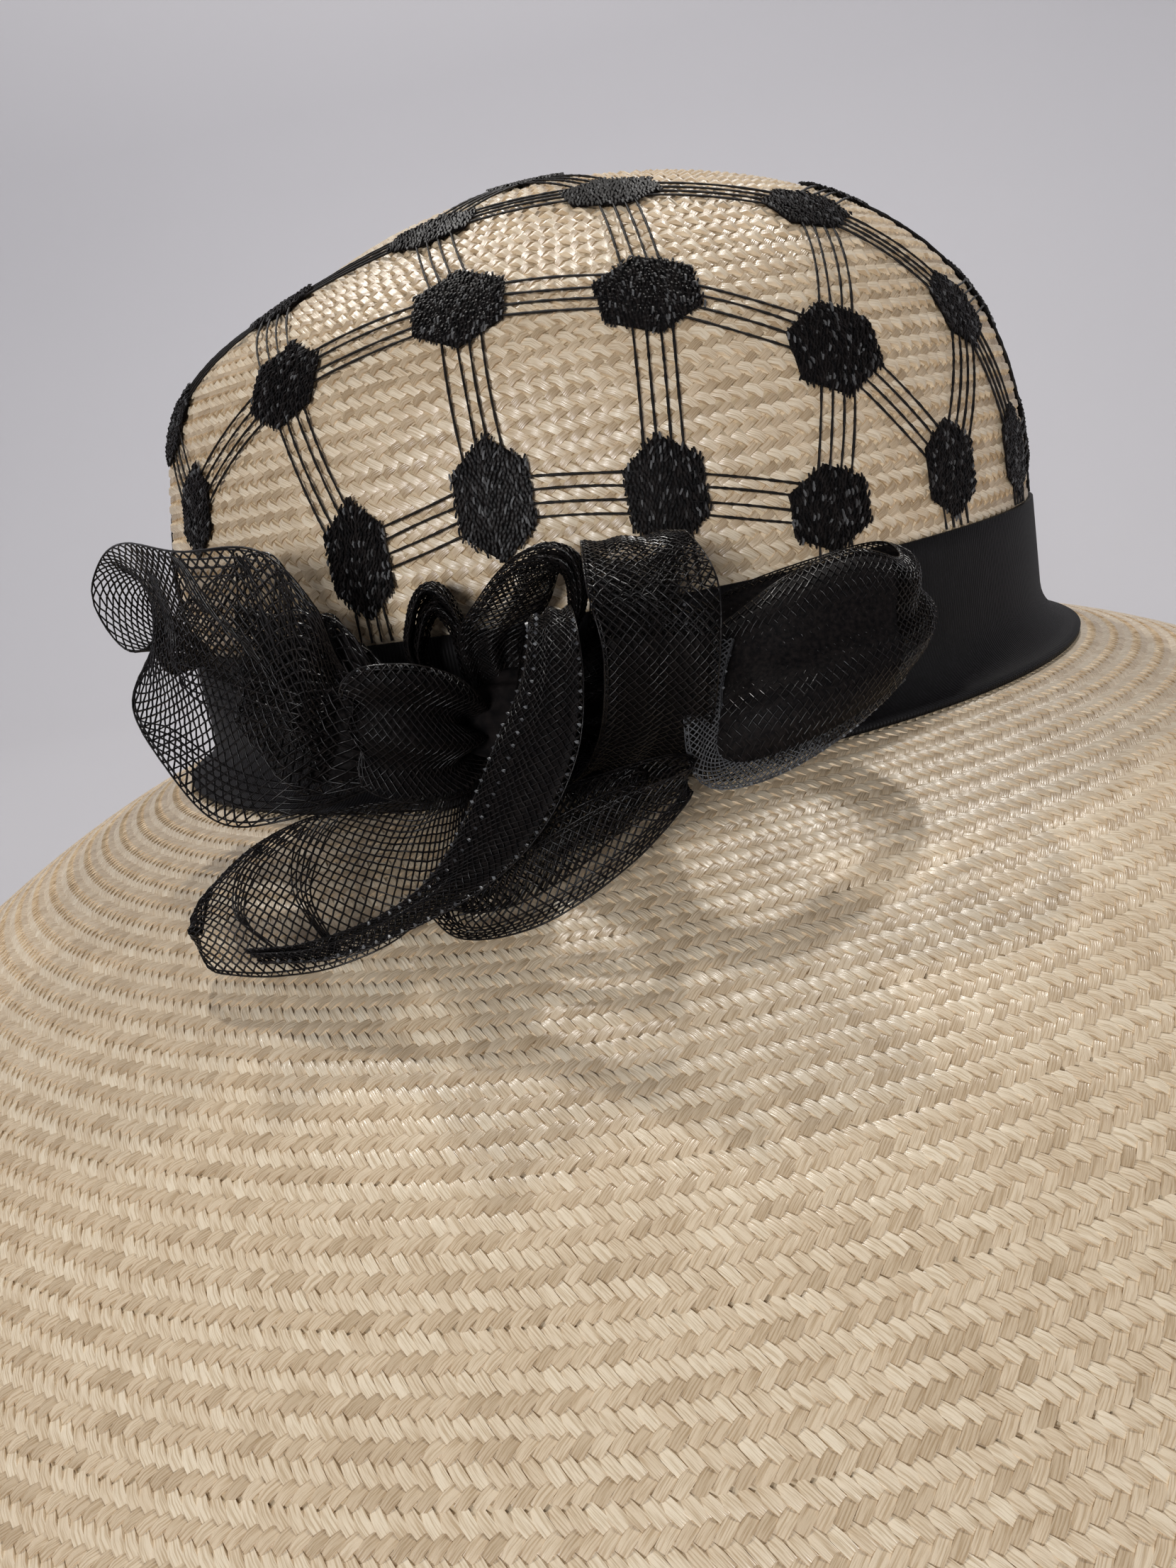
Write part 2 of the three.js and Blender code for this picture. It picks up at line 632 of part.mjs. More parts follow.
// Each ribbon gives way, by the seating gap, to the knot and to the ribbons that lie over it
function bow() {
  const parts = [mesh('bow_knot', toGeometry(knotBody(0)), CRINOLINE)];
  let taken = knotBody(SEAT_GAP);
  RIBBONS.forEach((ribbon) => {
    const body = largest(ribbonBody(ribbon, 0).subtract(taken));
    parts.push(mesh(ribbon.name, toGeometry(body), CRINOLINE));
    taken = taken.add(ribbonBody(ribbon, SEAT_GAP));
  });
  return parts;
}

const capeline = new THREE.Group();
capeline.add(crown(), brim(), band(), laceNet(), ...bow());

export default capeline;
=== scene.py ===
# %% [markdown]
# # A straw capeline
# This lesson dresses a wide-brimmed straw hat. The solids that carry it come first, as a frame in metres.
# The straw, the band, the lace and the net bow are then made where those solids are.
# All sizes below are millimetres, and one factor turns them into metres.

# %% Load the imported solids
import math

import bpy
import numpy as np
from mathutils import Matrix, Vector


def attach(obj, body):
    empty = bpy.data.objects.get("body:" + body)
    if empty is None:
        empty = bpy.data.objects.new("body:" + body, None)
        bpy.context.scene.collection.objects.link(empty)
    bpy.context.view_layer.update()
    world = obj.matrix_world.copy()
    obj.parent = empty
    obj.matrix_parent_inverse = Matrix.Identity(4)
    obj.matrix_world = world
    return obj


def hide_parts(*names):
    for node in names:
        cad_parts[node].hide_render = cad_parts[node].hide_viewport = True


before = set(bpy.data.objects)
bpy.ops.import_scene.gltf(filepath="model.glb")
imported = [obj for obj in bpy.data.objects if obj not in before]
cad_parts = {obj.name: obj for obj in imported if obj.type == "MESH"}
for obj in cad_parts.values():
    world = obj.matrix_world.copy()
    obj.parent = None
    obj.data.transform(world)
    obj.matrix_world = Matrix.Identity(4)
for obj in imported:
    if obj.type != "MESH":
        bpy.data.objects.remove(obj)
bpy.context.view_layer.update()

MM = 0.001

# %% [markdown]
# ## The hat's own formulas
# A blocked hat is an oval that is turned about its middle. The brim's slope grows as it leaves the band,
# and the dome is a squared-off half egg with two hand-blocked bumps.
# These few sizes are the part's own, so every piece made from them lands on the solids.

# %% Sizes of the straw body
CROWN_HALF_X = 97.0
CROWN_HALF_Y = 86.0
CROWN_RISE = 82.0
CROWN_SHOULDER = 0.72
CROWN_SWELL = 0.016
STRAW_WALL = 1.6
ROOT_RADIUS = 11.0
BRIM_WIDTH = 118.0
ROOT_SLOPE = math.radians(13.2)
FAR_SLOPE = math.radians(44.0)
SLOPE_REACH = 70.0
JOIN_RISE = 15.0
BAND_HEIGHT = 29.5
BAND_WALL = 1.0
SEAT_GAP = 0.3
BRIM_SAMPLES = 601
CROWN_BUMPS = [
    {"azimuth": -82, "level": 0.62, "spread": 38, "band": 0.16, "out": 2.8},
    {"azimuth": -58, "level": 0.86, "spread": 42, "band": 0.12, "out": -2.6},
]

widths = np.linspace(0, BRIM_WIDTH, BRIM_SAMPLES)
slopes = ROOT_SLOPE + (FAR_SLOPE - ROOT_SLOPE) * (1 - np.exp(-widths / SLOPE_REACH))
steps = np.diff(widths)
drops = np.concatenate([[0], np.cumsum(np.tan((slopes[1:] + slopes[:-1]) / 2) * steps)])
lengths = np.concatenate([[0], np.cumsum(steps / np.cos((slopes[1:] + slopes[:-1]) / 2))])

ROOT_Z = drops[-1]
ROOT_TURN = math.pi / 2 - ROOT_SLOPE
ROOT_OUT = ROOT_RADIUS * (1 - math.cos(ROOT_TURN))
ROOT_RISE = ROOT_RADIUS * math.sin(ROOT_TURN)
BAND_TOP_Z = ROOT_Z + BAND_HEIGHT
BRIM_LENGTH = lengths[-1]
print("brim drops", round(ROOT_Z, 2), "mm over a slope", round(BRIM_LENGTH, 1), "mm long")

# %% Points on the brim and on the crown


def oval(azimuth, out, z):
    x = (CROWN_HALF_X + out) * np.sin(azimuth)
    y = -(CROWN_HALF_Y + out) * np.cos(azimuth)
    return np.stack(np.broadcast_arrays(x, y, z), axis=-1)


def brim_point(azimuth, along, lift=0.0):
    width = np.interp(along, lengths, widths)
    slope = np.interp(along, lengths, slopes)
    out = ROOT_OUT + width + lift * np.sin(slope)
    return oval(azimuth, out, ROOT_Z - np.interp(along, lengths, drops) + lift * np.cos(slope))


def crown_surface(azimuth, lift):
    level = np.sin(lift) ** CROWN_SHOULDER
    round_ = np.cos(lift) * (1 + CROWN_SWELL * level)
    bump = 0.0
    for row in CROWN_BUMPS:
        away = (np.degrees(azimuth) - row["azimuth"] + 180) % 360 - 180
        around = (away / row["spread"]) ** 2
        upward = ((level - row["level"]) / row["band"]) ** 2
        bump = bump + row["out"] * np.exp(-around - upward)
    stretch = 1 + np.minimum(1, 2 * round_) * bump / CROWN_HALF_X
    x = CROWN_HALF_X * round_ * np.sin(azimuth) * stretch
    y = -CROWN_HALF_Y * round_ * np.cos(azimuth) * stretch
    z = BAND_TOP_Z + CROWN_RISE * level * stretch
    return np.stack(np.broadcast_arrays(x, y, z), axis=-1)


def unit(vectors):
    return vectors / np.maximum(np.linalg.norm(vectors, axis=-1, keepdims=True), 1e-9)


def crown_outward(azimuth, lift):
    step = 0.01
    low = np.clip(lift, step, math.pi / 2 - 2 * step)
    round_way = crown_surface(azimuth + step, low) - crown_surface(azimuth - step, low)
    up_way = crown_surface(azimuth, low + step) - crown_surface(azimuth, low - step / 2)
    return unit(np.cross(round_way, up_way))


def crown_point(azimuth, lift, out=0.0):
    return crown_surface(azimuth, lift) + out * crown_outward(azimuth, lift)


def lift_of_rise(rise):
    return np.arcsin(np.minimum(np.asarray(rise) / CROWN_RISE, 1) ** (1 / CROWN_SHOULDER))


print("crown top at", round(float(crown_point(0.0, math.pi / 2)[2]), 1), "mm")

# %% [markdown]
# ## The viewpoint
# The camera stands close to the hat, a little above the brim, turned and rolled as a hand-held phone is.
# Its three directions come from those angles, and the lens from the picture's height in pixels.

# %% Camera
CAMERA_PLACE = np.array([19.4, -287.0, 53.6 + ROOT_Z])
CAMERA_YAW = math.radians(-6.5)
CAMERA_PITCH = math.radians(15.01)
CAMERA_ROLL = math.radians(-10.88)
FOCAL_PIXELS = 1662.0
PICTURE_HEIGHT_PIXELS = 2212.0
SENSOR = 36.0
NEAREST_SEEN = 0.01


def camera_matrix():
    ahead = Vector((
        math.sin(CAMERA_YAW) * math.cos(CAMERA_PITCH),
        math.cos(CAMERA_YAW) * math.cos(CAMERA_PITCH),
        -math.sin(CAMERA_PITCH),
    ))
    level = Vector((math.cos(CAMERA_YAW), -math.sin(CAMERA_YAW), 0))
    above = level.cross(ahead)
    right = math.cos(CAMERA_ROLL) * level + math.sin(CAMERA_ROLL) * above
    up = -math.sin(CAMERA_ROLL) * level + math.cos(CAMERA_ROLL) * above
    turn = Matrix((right, up, -ahead)).transposed()
    return Matrix.Translation(Vector(CAMERA_PLACE) * MM) @ turn.to_4x4()


camera = bpy.data.objects.new("camera", bpy.data.cameras.new("camera"))
camera.data.sensor_width = SENSOR
camera.data.lens = FOCAL_PIXELS * SENSOR / PICTURE_HEIGHT_PIXELS
camera.data.clip_start = NEAREST_SEEN
camera.matrix_world = camera_matrix()
bpy.context.collection.objects.link(camera)
bpy.context.scene.camera = camera
print("lens", round(camera.data.lens, 2), "mm")

# %% [markdown]
# ## Small helpers for meshes and nodes
# A mesh can be filled straight from rows of points. Node trees are easier to read when one call
# makes a node, sets it and links it, so that is what these helpers do.

# %% Mesh helpers


def mesh_piece(name, points, faces, material=None, edges=()):
    mesh = bpy.data.meshes.new(name)
    mesh.from_pydata((np.asarray(points) * MM).tolist(), list(edges), [list(face) for face in faces])
    if material:
        mesh.materials.append(material)
    if len(faces):
        mesh.shade_smooth()
    piece = bpy.data.objects.new(name, mesh)
    bpy.context.collection.objects.link(piece)
    return piece


def grid_faces(rows, columns, wrap=False, first=0, flip=False):
    faces = []
    for i in range(rows - 1):
        for j in range(columns if wrap else columns - 1):
            k = (j + 1) % columns
            quad = [first + i * columns + j, first + i * columns + k,
                    first + (i + 1) * columns + k, first + (i + 1) * columns + j]
            faces.append(quad[::-1] if flip else quad)
    return faces


def turned_shell(name, profile, material, columns):
    """A closed ring of profile points, each a function of azimuth, turned about the hat."""
    azimuth = np.linspace(0, 2 * math.pi, columns, endpoint=False)
    points = np.concatenate([row(azimuth) for row in profile])
    rows = len(profile)
    faces = grid_faces(rows, columns, wrap=True)
    for j in range(columns):
        k = (j + 1) % columns
        faces.append([(rows - 1) * columns + j, (rows - 1) * columns + k, k, j])
    return mesh_piece(name, points, faces, material)


def triangles(piece):
    return sum(len(face.vertices) - 2 for face in piece.data.polygons)


print("faces in a grid of 3 by 4 points:", len(grid_faces(3, 4)))

# %% Node helpers


def start_tree(name, sizes):
    tree = bpy.data.node_groups.new(name, "GeometryNodeTree")
    tree.interface.new_socket("Guide", in_out="INPUT", socket_type="NodeSocketGeometry")
    for label, kind in sizes:
        tree.interface.new_socket(label, in_out="INPUT", socket_type="NodeSocket" + kind)
    tree.interface.new_socket("Made", in_out="OUTPUT", socket_type="NodeSocketGeometry")
    return tree, tree.nodes.new("NodeGroupInput").outputs, tree.nodes.new("NodeGroupOutput").inputs


def add(tree, kind, links=(), **settings):
    node = tree.nodes.new(kind)
    for key, value in settings.items():
        setattr(node, key, value)
    for socket, value in dict(links).items():
        if isinstance(value, bpy.types.NodeSocket):
            tree.links.new(value, node.inputs[socket])
        else:
            node.inputs[socket].default_value = value
    return node


def grow(name, guide, tree, values):
    """Runs a tree on a guide and keeps the result as a plain mesh."""
    modifier = guide.modifiers.new("grow", "NODES")
    modifier.node_group = tree
    for item in tree.interface.items_tree:
        if item.in_out == "INPUT" and item.name in values:
            modifier[item.identifier] = values[item.name]
    evaluated = guide.evaluated_get(bpy.context.evaluated_depsgraph_get())
    mesh = bpy.data.meshes.new_from_object(evaluated)
    mesh.name = name
    old = guide.data
    bpy.data.objects.remove(guide)
    bpy.data.meshes.remove(old)
    piece = bpy.data.objects.new(name, mesh)
    bpy.context.collection.objects.link(piece)
    print(name, "triangles:", triangles(piece))
    return piece


def guide_lines(name, lines, **attributes):
    """Lines of points as loose edges, with a value or a vector for each point as attributes."""
    points = np.concatenate([line["points"] for line in lines])
    edges = []
    first = 0
    for line in lines:
        count = len(line["points"])
        edges += [(first + k, first + k + 1) for k in range(count - 1)]
        if line.get("closed"):
            edges.append((first + count - 1, first))
        first += count
    guide = mesh_piece(name, points, [], edges=edges)
    for key, kind in attributes.items():
        field, parts = ("vector", (3,)) if kind == "FLOAT_VECTOR" else ("value", ())
        values = np.concatenate([np.broadcast_to(line[key], (len(line["points"]), *parts)) for line in lines])
        layer = guide.data.attributes.new(key, kind, "POINT")
        layer.data.foreach_set(field, values.astype(np.float32).ravel())
    return guide


# %% [markdown]
# ## Straw, in nodes
# Split straw is a flat strand with fine lines along it and a soft gloss. No two strands have the same colour:
# some are cream, some beige, and a few are tan. Each float carries a random tone and its own along-and-across
# coordinates, so one material can colour them all and draw the fibre lines as bump.

# %% Straw material for the floats


def new_material(name):
    material = bpy.data.materials.new(name)
    material.use_nodes = True
    tree = material.node_tree
    return material, tree, tree.nodes["Principled BSDF"]


def ramp(tree, value, stops):
    node = add(tree, "ShaderNodeValToRGB", {"Fac": value})
    while len(node.color_ramp.elements) < len(stops):
        node.color_ramp.elements.new(0.5)
    for element, (place, colour) in zip(node.color_ramp.elements, stops):
        element.position = place
        element.color = (*colour, 1)
    return node.outputs["Color"]


def math_node(tree, operation, first, second=0.0, third=0.0):
    node = tree.nodes.new("ShaderNodeMath")
    node.operation = operation
    for socket, value in zip(node.inputs, (first, second, third)):
        if isinstance(value, bpy.types.NodeSocket):
            tree.links.new(value, socket)
        else:
            socket.default_value = value
    return node.outputs[0]


def noise(tree, vector, scale, detail):
    sockets = {"Vector": vector, "Scale": scale, "Detail": detail}
    return add(tree, "ShaderNodeTexNoise", sockets).outputs["Fac"]


def object_place(tree):
    return add(tree, "ShaderNodeTexCoord").outputs["Object"]


def carried(tree, name, field="Fac"):
    """A value that the mesh itself carries, as an attribute."""
    return add(tree, "ShaderNodeAttribute", attribute_name=name).outputs[field]


def multiplied(tree, colour, tint):
    sockets = {"Factor": 1.0, 6: colour, 7: tint}
    return add(tree, "ShaderNodeMix", sockets, data_type="RGBA", blend_type="MULTIPLY").outputs[2]


def add_bump(tree, shader, height, strength, depth):
    """Relief from a height, with its depth in mm."""
    node = add(tree, "ShaderNodeBump", {"Height": height, "Strength": strength, "Distance": depth * MM})
    tree.links.new(node.outputs["Normal"], shader.inputs["Normal"])


def set_gloss(shader, roughness, gloss):
    shader.inputs["Roughness"].default_value = roughness
    shader.inputs["Specular IOR Level"].default_value = gloss


WHITE = (1.0, 1.0, 1.0)
STRAW_CREAM = (0.91, 0.79, 0.60)
STRAW_BEIGE = (0.74, 0.595, 0.415)
STRAW_TAN = (0.45, 0.33, 0.20)
STRAW_WEIGHT = {"tone": 0.36, "age": 0.22, "painted_shade": 0.36}
STRAW_ROUGHNESS = 0.39
STRAW_POLISH = -0.2
STRAW_GLOSS = 0.75
AGE_SCALE = 45.0
FIBRE_DARK = (0.72, 0.66, 0.58)
FIBRE_LINES = 5.0
FIBRE_STRETCH = 0.7
FIBRE_SHIFT = 7.0
FIBRE_JUMP = 40.0
FIBRE_SCALE = 1.6
FIBRE_RELIEF = 0.32
FIBRE_DEPTH = 0.4


def straw_material():
    material, tree, shader = new_material("straw")
    tone = carried(tree, "tone")
    age = math_node(tree, "MULTIPLY", noise(tree, object_place(tree), AGE_SCALE, 3.0), STRAW_WEIGHT["age"])
    mixed = math_node(tree, "MULTIPLY_ADD", tone, STRAW_WEIGHT["tone"], age)
    # Back rows are darker: partly a darker straw, and partly painted shade, as they lie lower and catch less
    # light.
    darker = math_node(tree, "MULTIPLY_ADD", carried(tree, "painted_shade"), STRAW_WEIGHT["painted_shade"], mixed)
    base = ramp(tree, darker, [(0.05, STRAW_CREAM), (0.55, STRAW_BEIGE), (1.0, STRAW_TAN)])
    parts = add(tree, "ShaderNodeSeparateXYZ", {"Vector": carried(tree, "strand", "Vector")}).outputs
    across = math_node(tree, "MULTIPLY", parts["Y"], FIBRE_LINES)
    stretched = add(tree, "ShaderNodeCombineXYZ", {
        "X": math_node(tree, "MULTIPLY", parts["X"], FIBRE_STRETCH),
        "Y": math_node(tree, "MULTIPLY_ADD", tone, FIBRE_SHIFT, across),
        "Z": math_node(tree, "MULTIPLY", tone, FIBRE_JUMP),
    }).outputs["Vector"]
    fibres = noise(tree, stretched, FIBRE_SCALE, 2.0)
    lines = ramp(tree, fibres, [(0.36, FIBRE_DARK), (0.56, WHITE)])
    tree.links.new(multiplied(tree, base, lines), shader.inputs["Base Color"])
    add_bump(tree, shader, fibres, FIBRE_RELIEF, FIBRE_DEPTH)
    set_gloss(shader, STRAW_ROUGHNESS, STRAW_GLOSS)
    rough = math_node(tree, "MULTIPLY_ADD", fibres, STRAW_POLISH, STRAW_ROUGHNESS)
    tree.links.new(rough, shader.inputs["Roughness"])
    return material


STRAW = straw_material()
print("made", STRAW.name)

# %% [markdown]
# The walls behind the floats show only in the gaps, and inside the hat. There the plait is drawn by nodes
# alone: two sets of strands cross, and each passes over two and under two. Rounding the two strand numbers
# down and taking their difference tells which strand is on top. Each strand darkens at its edges, which is
# painted shade between the strands. The wall's straw is also darker than the floats', partly as painted shade
# for the gaps.

# %% Straw material for the walls
WALL_LIGHT = (0.72, 0.59, 0.41)
WALL_MIDDLE = (0.60, 0.47, 0.30)
WALL_GAP_SHADE = (0.55, 0.46, 0.36)
WALL_ROUGHNESS = 0.62
WALL_RELIEF = 0.8
WALL_DEPTH = 1.2
OVER_AND_UNDER = 4.0
SECOND_SET = 0.37


def pick(tree, switch, off, on):
    """One value where the switch is 0, another where it is 1."""
    return add(tree, "ShaderNodeMix", {"Factor": switch, 2: off, 3: on}).outputs[0]


def plaited_material():
    material, tree, shader = new_material("straw_plait")
    lattice = add(tree, "ShaderNodeUVMap", uv_map="plait").outputs["UV"]
    parts = add(tree, "ShaderNodeSeparateXYZ", {"Vector": lattice}).outputs
    first = math_node(tree, "ADD", parts["X"], parts["Y"])
    second = math_node(tree, "SUBTRACT", parts["X"], parts["Y"])
    first_number = math_node(tree, "FLOOR", first)
    second_number = math_node(tree, "FLOOR", second)
    difference = math_node(tree, "SUBTRACT", first_number, second_number)
    cycle = math_node(tree, "FLOORED_MODULO", difference, OVER_AND_UNDER)
    first_on_top = math_node(tree, "LESS_THAN", cycle, OVER_AND_UNDER / 2 - 0.5)
    across = pick(tree, first_on_top, math_node(tree, "FRACT", first), math_node(tree, "FRACT", second))
    arch = math_node(tree, "PINGPONG", across, 0.5)
    strand = pick(tree, first_on_top, first_number, math_node(tree, "ADD", second_number, SECOND_SET))
    tone = add(tree, "ShaderNodeTexWhiteNoise", {"W": strand}, noise_dimensions="1D").outputs["Value"]
    straw = ramp(tree, tone, [(0.0, WALL_LIGHT), (1.0, WALL_MIDDLE)])
    # Strand edges darkened: painted shade between the strands.
    gaps = ramp(tree, arch, [(0.03, WALL_GAP_SHADE), (0.14, WHITE)])
    tree.links.new(multiplied(tree, straw, gaps), shader.inputs["Base Color"])
    add_bump(tree, shader, arch, WALL_RELIEF, WALL_DEPTH)
    shader.inputs["Roughness"].default_value = WALL_ROUGHNESS
    return material


PLAIT = plaited_material()
print("made", PLAIT.name)

# %% [markdown]
# ## Floats that follow rows
# On a plaited hat the floats lie in rows round the crown and the brim: a row leaning one way, lighter and
# higher, then a row leaning the other way, lower and darker. That darkness is partly painted shade. A node
# tree can lay one float on each point of a row's line, turn it to the surface, lean it, and give it a random
# tone. One tree then serves all the straw, and the stitches of the lace as well.

# %% Parts of the tree that lays floats
FLOAT_TIP = 0.46


def float_form():
    """A unit float: a flat strand that arches over its middle and dives at both ends."""
    points = [(-0.5, -FLOAT_TIP, -1), (-0.5, FLOAT_TIP, -1), (0, -0.5, 1), (0, 0.5, 1),
              (0.5, -FLOAT_TIP, -1), (0.5, FLOAT_TIP, -1)]
    faces = [(0, 2, 3, 1), (2, 4, 5, 3), (0, 4, 2), (1, 3, 5), (0, 1, 5, 4)]
    piece = mesh_piece("float_form", np.array(points) / MM, faces)
    arch = {2, 3}
    for edge in piece.data.edges:
        edge.use_edge_sharp = set(edge.vertices) != arch
    return piece


def random_value(tree, seed, low, high):
    node = add(tree, "FunctionNodeRandomValue", {"Seed": seed}, data_type="FLOAT")
    node.inputs[2].default_value = low
    node.inputs[3].default_value = high
    return node.outputs[1]


def row_value(tree, name, kind="FLOAT"):
    return add(tree, "GeometryNodeInputNamedAttribute", {"Name": name}, data_type=kind).outputs["Attribute"]


def scattered(tree, points, given):
    """Points moved a little off their row, as hand stitches are."""
    ways = {"Seed": given["Seed"], 0: (-1, -1, -1)}
    way = add(tree, "FunctionNodeRandomValue", ways, data_type="FLOAT_VECTOR").outputs[0]
    offset = add(tree, "ShaderNodeVectorMath", {0: way, "Scale": given["Scatter"]}, operation="SCALE")
    return add(tree, "GeometryNodeSetPosition", {"Geometry": points, "Offset": offset.outputs[0]}).outputs[0]


def one_float(tree, given):
    """The unit float at the size asked for, with its own along and across kept as a vector."""
    form = add(tree, "GeometryNodeObjectInfo", {"Object": given["Float form"]})
    kept = add(tree, "GeometryNodeStoreNamedAttribute", {
        "Geometry": form.outputs["Geometry"], "Name": "strand",
        "Value": add(tree, "GeometryNodeInputPosition").outputs["Position"],
    }, data_type="FLOAT_VECTOR", domain="POINT").outputs["Geometry"]
    size = add(tree, "ShaderNodeCombineXYZ", {
        "X": given["Float length"], "Y": given["Float width"], "Z": given["Float rise"],
    }).outputs["Vector"]
    return add(tree, "GeometryNodeTransform", {"Geometry": kept, "Scale": size}).outputs["Geometry"]


def row_turn(tree, given):
    """The turn of a float: flat on the surface, along its row, then leaned, with some unevenness."""
    facing = add(tree, "FunctionNodeAxesToRotation", {
        "Primary Axis": row_value(tree, "outward", "FLOAT_VECTOR"),
        "Secondary Axis": add(tree, "GeometryNodeInputTangent").outputs["Tangent"],
    }, primary_axis="Z", secondary_axis="X").outputs["Rotation"]
    wobble = random_value(tree, given["Seed"], -1.0, 1.0)
    turn = math_node(tree, "MULTIPLY_ADD", wobble, given["Unevenness"], row_value(tree, "lean"))
    euler = add(tree, "ShaderNodeCombineXYZ", {"Z": turn}).outputs["Vector"]
    lean = add(tree, "FunctionNodeEulerToRotation", {"Euler": euler}).outputs["Rotation"]
    leaned = {"Rotation": facing, "Rotate By": lean}
    return add(tree, "FunctionNodeRotateRotation", leaned, rotation_space="LOCAL").outputs["Rotation"]


def finish(tree, geometry, given, made):
    real = add(tree, "GeometryNodeRealizeInstances", {"Geometry": geometry}).outputs["Geometry"]
    smooth = add(tree, "GeometryNodeSetShadeSmooth", {"Geometry": real}).outputs[0]
    coated = add(tree, "GeometryNodeSetMaterial", {"Geometry": smooth, "Material": given["Finish"]})
    tree.links.new(coated.outputs["Geometry"], made["Made"])


FLOAT_FORM = float_form()
print("triangles in a float:", triangles(FLOAT_FORM))

# %% The tree that lays floats along rows
FLOAT_SCALES = (0.93, 1.05)
SCALE_SEED = 3.0
TONE_SEED = 9.0


def floats_tree():
    tree, given, made = start_tree("floats_along_rows", [
        ("Float form", "Object"), ("Float length", "Float"), ("Float width", "Float"),
        ("Float rise", "Float"), ("Unevenness", "Float"), ("Scatter", "Float"),
        ("Seed", "Int"), ("Finish", "Material"),
    ])
    lines = add(tree, "GeometryNodeMeshToCurve", {"Mesh": given["Guide"]}).outputs["Curve"]
    count = math_node(tree, "ROUND", row_value(tree, "floats"))
    spaced = add(tree, "GeometryNodeResampleCurve", {"Curve": lines, "Count": count}, mode="COUNT")
    laid = add(tree, "GeometryNodeInstanceOnPoints", {
        "Points": scattered(tree, spaced.outputs["Curve"], given),
        "Instance": one_float(tree, given),
        "Rotation": row_turn(tree, given),
        "Scale": random_value(tree, math_node(tree, "ADD", given["Seed"], SCALE_SEED), *FLOAT_SCALES),
    })
    toned = add(tree, "GeometryNodeStoreNamedAttribute", {
        "Geometry": laid.outputs["Instances"], "Name": "tone",
        "Value": random_value(tree, math_node(tree, "ADD", given["Seed"], TONE_SEED), 0.0, 1.0),
    }, data_type="FLOAT", domain="INSTANCE")
    finish(tree, toned.outputs["Geometry"], given, made)
    return tree


FLOATS = floats_tree()


def lay_floats(name, lines, size, seed, material):
    """Floats of one size, in mm and degrees, laid on the points of each line."""
    kinds = {"outward": "FLOAT_VECTOR", "floats": "FLOAT", "lean": "FLOAT", "painted_shade": "FLOAT"}
    return grow(name, guide_lines(name + "_rows", lines, **kinds), FLOATS, {
        "Float form": FLOAT_FORM, "Float length": size["length"] * MM, "Float width": size["width"] * MM,
        "Float rise": size["rise"] * MM, "Unevenness": math.radians(size["unevenness"]),
        "Scatter": size["scatter"] * MM, "Seed": seed, "Finish": material,
    })


print("nodes in the float tree:", len(FLOATS.nodes))

# %% [markdown]
# ## The straw crown and brim
# Each is a thin wall with floats laid on it. The wall is a ring of profile points turned about the oval. The
# floats follow rings of constant height on the dome, and of constant distance from the band on the brim.
# A block of rows shares one count, so that the rows interlock, and the count grows from block to block.

# %% Walls of straw
# Pitch and period are the plait's steps along a row and over two rows. First and clear are the room before
# the first row and after the last. The wall is sunk under the floats, which rise over their rows. Back rows
# are sunk and darkened, partly by painted shade, and fill is the share of its width that a float takes up.
# Plaits are counted once round the wall.
CROWN_STRAW = {
    "pitch": 2.85, "period": 3.8, "first": 0.5, "clear": 1.0, "wall_sink": 0.5, "plaits": 200,
    "rise": 0.55, "sink": 0.27, "back_painted_shade": 1.35, "fill": 0.91,
}
BRIM_STRAW = {
    "pitch": 2.05, "period": 4.5, "first": 1.3, "clear": 2.4, "wall_sink": 0.36, "plaits": 320,
    "rise": 0.25, "sink": 0.05, "back_painted_shade": 0.8, "fill": 1.04,
}
WALL_COLUMNS = 144
ROOT_STEPS = 6
BRIM_STEPS = 30
CROWN_STEPS = 26
FOOT_LEVEL = -3.5
POLE_GAP = 0.0002


def lattice_uv(piece, name, columns, around, up):
    """Lattice numbers on a turned shell: around is counted along a row, up from row to row."""
    layer = piece.data.uv_layers.new(name=name)
    for face in piece.data.polygons:
        ids = np.array([piece.data.loops[k].vertex_index for k in face.loop_indices])
        column = (ids % columns).astype(float)
        if column.max() - column.min() > columns / 2:
            column[column < columns / 2] += columns
        row = ids // columns
        for loop, across, level in zip(face.loop_indices, column, row):
            layer.data[loop].uv = (around * across / columns, 2 * up[level])


def straw_wall(name, sides, levels, plaits):
    """A wall between an outer and an inner side, with the plait's lattice on both."""
    outer, inner = sides
    piece = turned_shell(name, outer + inner[::-1], PLAIT, WALL_COLUMNS)
    lattice_uv(piece, "plait", WALL_COLUMNS, plaits, np.concatenate([levels, levels[::-1]]))
    return piece


def brim_wall():
    along = np.linspace(0, BRIM_LENGTH, BRIM_STEPS)
    sides = []
    for sink in (BRIM_STRAW["wall_sink"], STRAW_WALL):
        side = [lambda az, sink=sink: oval(az, -sink, ROOT_Z + JOIN_RISE)]
        for turn in np.linspace(0, ROOT_TURN, ROOT_STEPS)[:-1]:
            out = ROOT_RADIUS - (ROOT_RADIUS + sink) * math.cos(turn)
            z = ROOT_Z + ROOT_RISE - (ROOT_RADIUS + sink) * math.sin(turn)
            side.append(lambda az, out=out, z=z: oval(az, out, z))
        side += [lambda az, place=place, sink=sink: brim_point(az, place, -sink) for place in along[:-1]]
        rim = ROOT_OUT + BRIM_WIDTH - sink / math.sin(slopes[-1])
        side.append(lambda az, rim=rim: oval(az, rim, 0))
        sides.append(side)
    levels = np.concatenate([np.arange(-ROOT_STEPS, 0.0), along / BRIM_STRAW["period"]])
    return straw_wall("brim_wall", sides, levels, BRIM_STRAW["plaits"])


